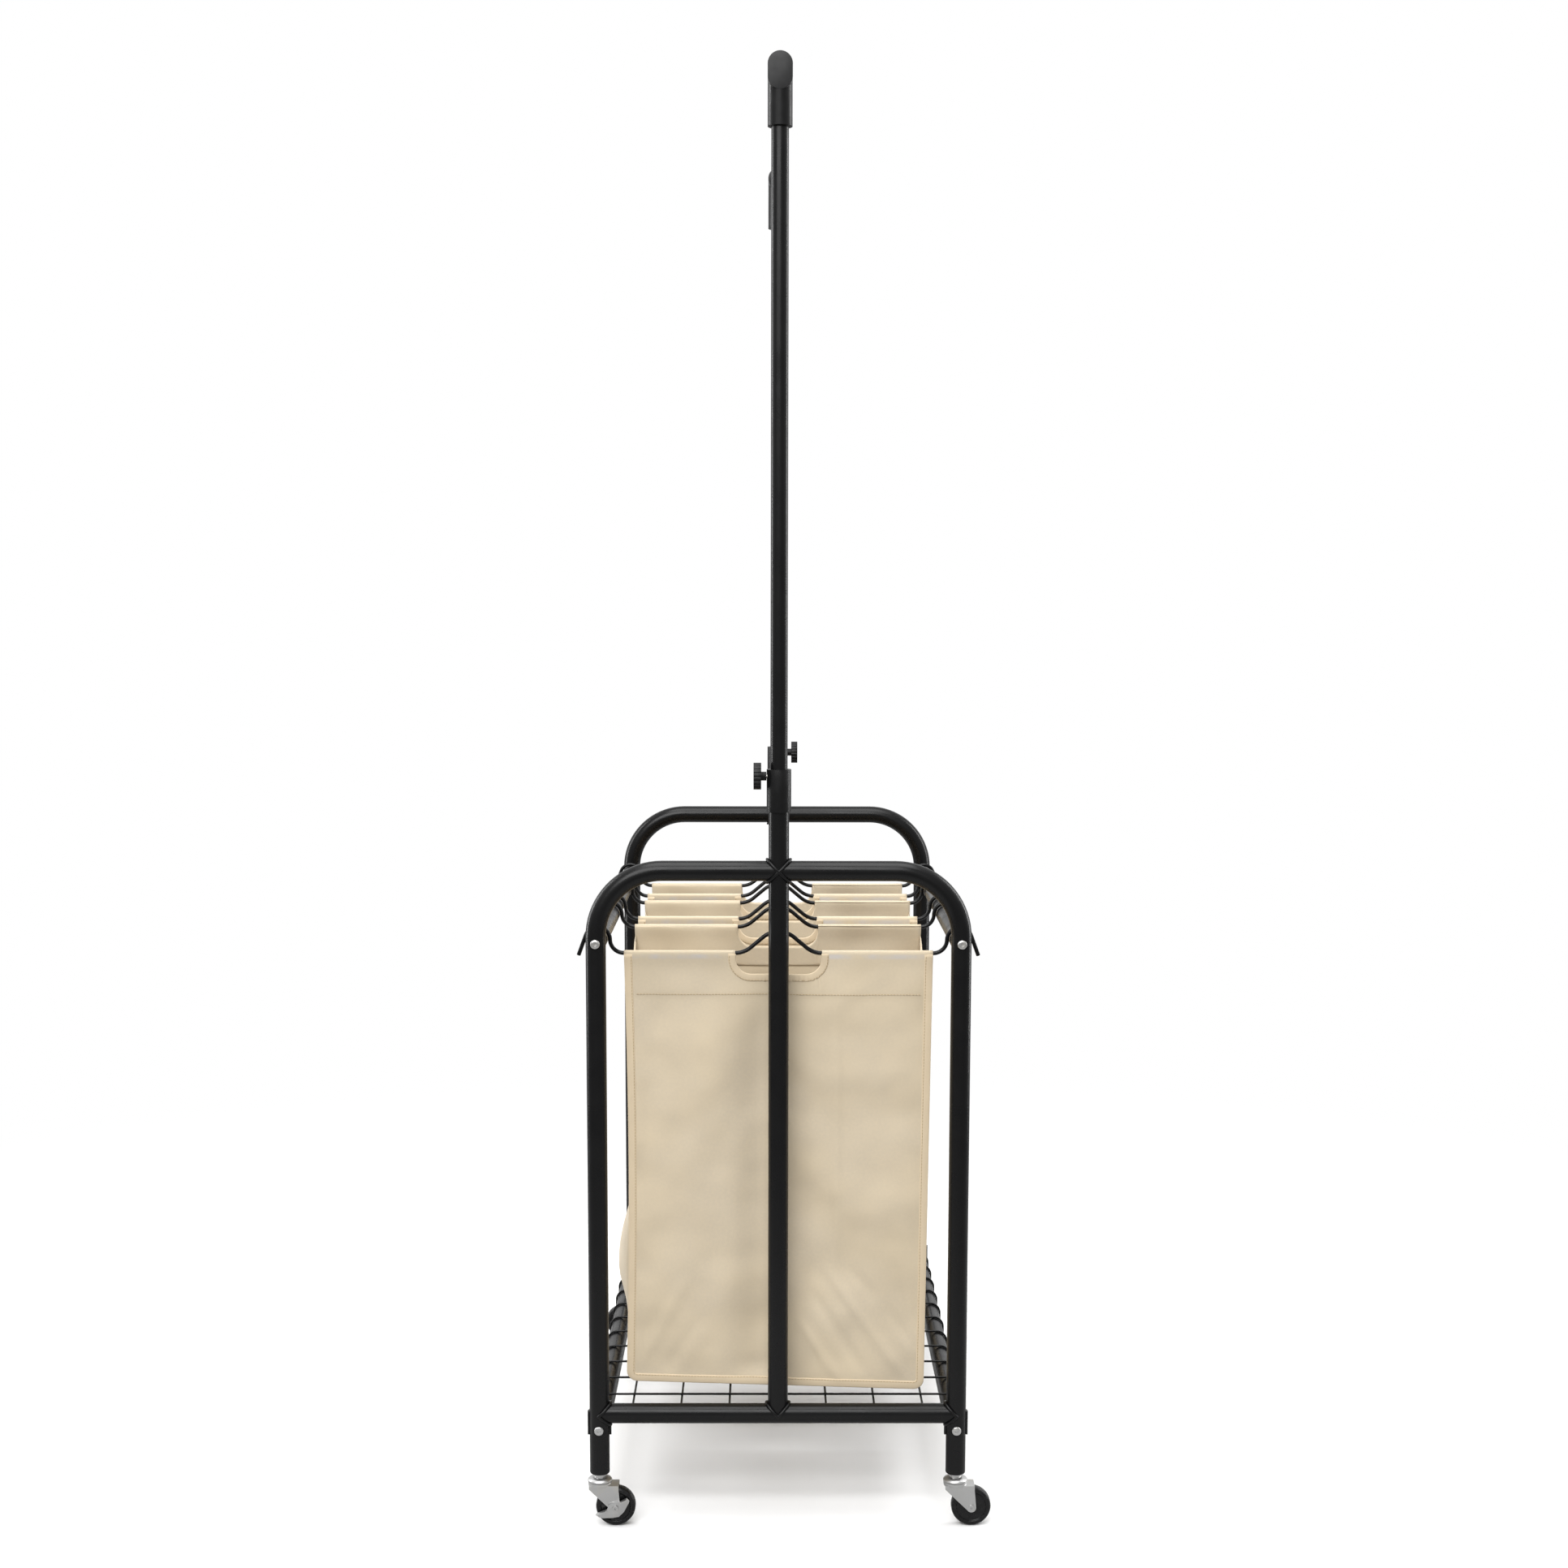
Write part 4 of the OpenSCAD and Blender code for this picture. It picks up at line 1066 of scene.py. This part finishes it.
# For each bag: pleats in the strip, how far they draw in and how far the bottom sags, in mm.
GUSSET_FOLDS = {1: (1, 4.0, 10.0), 2: (1, 44.0, 16.0), 3: (2, 34.0, 15.0)}
SWELL_HEIGHT = 20 * MM
SWELL_GROWS = (300 * MM, 415 * MM)  # depths between which the left gusset's swell grows
SWELL_FADES = (482 * MM, 425 * MM)
TOP_DIP = 26 * MM
TOP_HEM_R = 1.3 * MM
TOP_HEM_SPAN = (0.06, 0.94)  # shares of the strip's width
TOP_HEM_AT = 0.004  # share of the strip's length


class Gusset:
    """The strip that goes down one side of a bag, under it and up the other."""

    def __init__(self, bag):
        self.bag = bag
        self.front, self.back = Panel(bag, "front"), Panel(bag, "back")
        self.look = self.front.look
        self.pleats, self.inward, self.sag = GUSSET_FOLDS[bag.number]
        self.phase = np.random.default_rng(7 + bag.number).uniform(0, 6.3)

    def edge_place(self, panel, s):
        """Points of the strip's edge along a panel, s from 0 at the top left to 1 at the right.

        Also the directions out of the bag, the depths, and 1 on a side or 0 on the bottom."""
        bag = self.bag
        path = np.array(border_path(panel, 0.6 * MM))
        path[0, 1] = path[-1, 1] = self.look.gusset_drop
        points, _ = along_path(path, 1 * MM)
        at = s * (len(points) - 1)
        x = np.interp(at, np.arange(len(points)), points[:, 0])
        v = np.interp(at, np.arange(len(points)), points[:, 1])
        placed = panel.place(x, v)
        placed[:, 1] = panel.y
        side = smoothstep(0.0, 12 * MM, bag.drop - v)
        normal = np.column_stack([np.sign(x) * side, np.zeros(len(x)), side - 1.0])
        normal /= np.linalg.norm(normal, axis=1)[:, None]
        return placed, normal, v, side

    def place(self, s, t):
        """Points at shares s along the strip and t from the front panel to the back one."""
        bag = self.bag
        a, normal, v, side = self.edge_place(self.front, s)
        b, _, _, _ = self.edge_place(self.back, s)
        depth = v / bag.drop
        point = a * (1 - t) + b * t
        bow = math.sin(math.pi * t)
        pleat = (1 - math.cos(2 * math.pi * self.pleats * t)) / 2
        inward = self.inward * MM * pleat * side * smoothstep(1.0, 0.8, depth)
        inward = inward * (0.55 + 0.45 * smoothstep(0.75, 0.1, depth))
        outward = self.sag * MM * bow * (1 - side)
        ripple = 1.6 * MM * bow * np.sin(13 * depth + self.phase + 3.0 * t)
        ripple = ripple * smoothstep(0.0, 0.15, depth)
        left = np.where(point[:, 0] < 0, 1.0, 0.0)
        swell = smoothstep(*SWELL_GROWS, v) * smoothstep(*SWELL_FADES, v)
        first = bag.number == 1
        belly = SWELL_HEIGHT * swell * left * bow**0.7 * (1.0 if first else 0.3)
        point = point + normal * (outward - inward + ripple + belly)[:, None]
        point[:, 2] -= TOP_DIP * bow * smoothstep(0.16, 0.0, depth) * (0.4 if first else 1.0)
        return point


class SORTER_OT_bag_gussets(bpy.types.Operator):
    """Sews the strip that makes each bag's two gussets and its bottom, with its top hems"""

    bl_idname = "sorter.bag_gussets"
    bl_label = "Sew the bag gussets"

    def execute(self, context):
        look = context.scene.sorter_bag
        for number in BAGS:
            bag = Bag(number)
            gusset = Gusset(bag)
            length = 2 * (bag.drop - look.gusset_drop) + 2 * bag.half
            shares = np.linspace(0, 1, round(length / (6 * MM)) + 1)
            across = np.linspace(0, 1, 29)
            rows = np.stack([gusset.place(shares, t) for t in across], axis=1)
            uvs = [(t * bag.mouth, 1.0 + s * length) for s in shares for t in across]
            faces = grid_faces(len(shares), len(across))
            strip = mesh_piece(f"bag_{number}_gussets", rows.reshape(-1, 3), faces, uvs)
            apply_modifier(strip, "SOLIDIFY", thickness=look.cloth_t, offset=0)
            hems = []
            for end in (0, 1):
                at = np.array([abs(end - TOP_HEM_AT)])
                edge = [gusset.place(at, t)[0] for t in np.linspace(*TOP_HEM_SPAN, 33)]
                hems.append(tube_along("hem", edge, TOP_HEM_R, 10))
            hem = join(f"bag_{number}_gusset_hems", hems)
            for piece, finish in ((strip, "cloth_cream"), (hem, "tape")):
                new_piece(piece, f"bag_{number}", "cloth_cream", finish)
                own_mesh(piece)
        return {"FINISHED"}


# ---------- stage ----------


LIGHTS = (  # name, its power setting, place, the point it faces and its size, in metres
    ("left_strip", "strip_power", (-2.2, 0.5, 1.3), (0, 0, 0.6), (0.35, 2.4)),
    ("right_strip", "strip_power", (2.2, 0.5, 1.3), (0, 0, 0.6), (0.35, 2.4)),
    ("front_light", "key_power", (-0.9, -3.4, 3.2), (0, 0, 0.5), (3.2, 2.2)),
    ("top_light", "top_power", (0, -0.6, 3.4), (0, 0, 0.6), (2.2, 2.2)),
)
EYE = (-10.4, -3125.6, 1163.8)  # the camera's place, in mm
PITCH, YAW, ROLL = 0.1225, 0.0061, 0.0021  # radians
SHIFT_Y = 0.0606


def area_light(name, place, target, sides, energy):
    """A soft rectangular light that faces a point."""
    bpy.ops.object.light_add(type="AREA", location=place)
    light = bpy.context.object
    light.name = name
    light.data.shape = "RECTANGLE"
    light.data.size, light.data.size_y = sides
    light.data.energy = energy
    light.rotation_euler = (Vector(target) - Vector(place)).to_track_quat("-Z", "Y").to_euler()


def studio_world():
    """A world that looks white, but as a light is dimmer, most of all in front."""
    world = bpy.data.worlds.new("studio")
    bpy.context.scene.world = world
    world.use_nodes = True
    nodes, links = world.node_tree.nodes, world.node_tree.links
    place = nodes.new("ShaderNodeTexCoord")
    split = nodes.new("ShaderNodeSeparateXYZ")
    links.new(place.outputs["Generated"], split.inputs[0])
    fade = nodes.new("ShaderNodeMapRange")
    fade.interpolation_type = "SMOOTHSTEP"
    links.new(split.outputs["Y"], fade.inputs["Value"])
    for key, value in (("From Min", -0.8), ("From Max", 0.3), ("To Min", 0.45), ("To Max", 0.9)):
        fade.inputs[key].default_value = value
    seen = nodes.new("ShaderNodeLightPath")
    most = nodes.new("ShaderNodeMath")
    most.operation = "MAXIMUM"
    links.new(fade.outputs["Result"], most.inputs[0])
    links.new(seen.outputs["Is Camera Ray"], most.inputs[1])
    sky = nodes["Background"]
    sky.inputs["Color"].default_value = (1, 1, 1, 1)
    links.new(most.outputs[0], sky.inputs["Strength"])


def floor_material(colour):
    """A pale floor that fades into the white around it. It throws back less light than it shows."""
    s = Shader("pale_floor")
    s.set(Roughness=0.9, Specular_IOR_Level=0.1)
    seen = s.add("ShaderNodeLightPath").outputs["Is Camera Ray"]
    pale = s.mix(s.noise(2, 2), colour, shaded(colour, 1.03))
    s.link(s.mix(seen, shaded(colour, 0.45), pale), s.surface.inputs["Base Color"])
    length = s.add("ShaderNodeVectorMath", operation="LENGTH")
    s.link(s.place(), length.inputs[0])
    far = s.range(length.outputs["Value"], 0.9, 2.4, 0, 1, smooth=True)
    glow = s.add("ShaderNodeEmission")
    s.link(s.range(seen, 0, 1, 0.3, 1.0), glow.inputs["Strength"])
    blend = s.add("ShaderNodeMixShader")
    s.link(far, blend.inputs[0])
    s.link(s.surface.outputs[0], blend.inputs[1])
    s.link(glow.outputs[0], blend.inputs[2])
    s.link(blend.outputs[0], s.nodes["Material Output"].inputs["Surface"])
    return s.material


class SORTER_OT_stage(bpy.types.Operator):
    """Sets the floor, the soft lights and the camera"""

    bl_idname = "sorter.stage"
    bl_label = "Set the stage"

    def execute(self, context):
        look = context.scene.sorter_stage
        bpy.ops.mesh.primitive_circle_add(vertices=96, radius=40, fill_type="NGON",
                                          location=(0, 0, -0.2 * MM))
        floor = context.object
        floor.name = "floor"
        dress(floor, floor_material(tuple(look.floor_colour)))
        studio_world()
        for name, setting, place, target, sides in LIGHTS:
            area_light(name, place, target, sides, getattr(look, setting))
        context.scene.camera = self.camera(look.lens)
        context.scene.view_settings.view_transform = "Standard"
        return {"FINISHED"}

    def camera(self, lens):
        """A camera before the front end frame, a little above it and looking slightly down."""
        data = bpy.data.cameras.new("camera")
        data.lens = lens
        data.sensor_width = 36
        data.shift_y = SHIFT_Y
        camera = bpy.data.objects.new("camera", data)
        bpy.context.scene.collection.objects.link(camera)
        turn = Matrix.Rotation(-YAW, 4, "Z") @ Matrix.Rotation(math.pi / 2 - PITCH, 4, "X")
        roll = Matrix.Rotation(ROLL, 4, "Z")
        camera.matrix_world = Matrix.Translation(Vector(EYE) * MM) @ turn @ roll
        return camera


# ---------- add-on ----------


class SORTER_PT_panel(bpy.types.Panel):
    """Lists the sorter's pieces and settings"""

    bl_idname = "SORTER_PT_panel"
    bl_label = "Laundry sorter"
    bl_space_type = "VIEW_3D"
    bl_region_type = "UI"
    bl_category = "Laundry sorter"

    def draw(self, context):
        layout = self.layout
        for operator in OPERATORS:
            layout.operator(operator.bl_idname)
        for name, group in SETTINGS.items():
            settings = getattr(context.scene, name)
            box = layout.box()
            for key in group.__annotations__:
                box.prop(settings, key)


SETTINGS = {
    "sorter_finish": FinishSettings,
    "sorter_hanger": HangerSettings,
    "sorter_weld": WeldSettings,
    "sorter_bag": BagSettings,
    "sorter_stage": StageSettings,
}
OPERATORS = (
    SORTER_OT_stage,
    SORTER_OT_finishes,
    SORTER_OT_hardware,
    SORTER_OT_welds,
    SORTER_OT_hangers,
    SORTER_OT_bag_panels,
    SORTER_OT_bag_gussets,
)


def register():
    for cls in (*SETTINGS.values(), *OPERATORS, SORTER_PT_panel):
        bpy.utils.register_class(cls)
    for name, group in SETTINGS.items():
        setattr(bpy.types.Scene, name, PointerProperty(type=group))


def unregister():
    for name in SETTINGS:
        delattr(bpy.types.Scene, name)
    for cls in (SORTER_PT_panel, *OPERATORS[::-1], *list(SETTINGS.values())[::-1]):
        bpy.utils.unregister_class(cls)


def main():
    register()
    for operator in OPERATORS:
        group, name = operator.bl_idname.split(".")
        getattr(getattr(bpy.ops, group), name)()


if __name__ == "__main__":
    main()
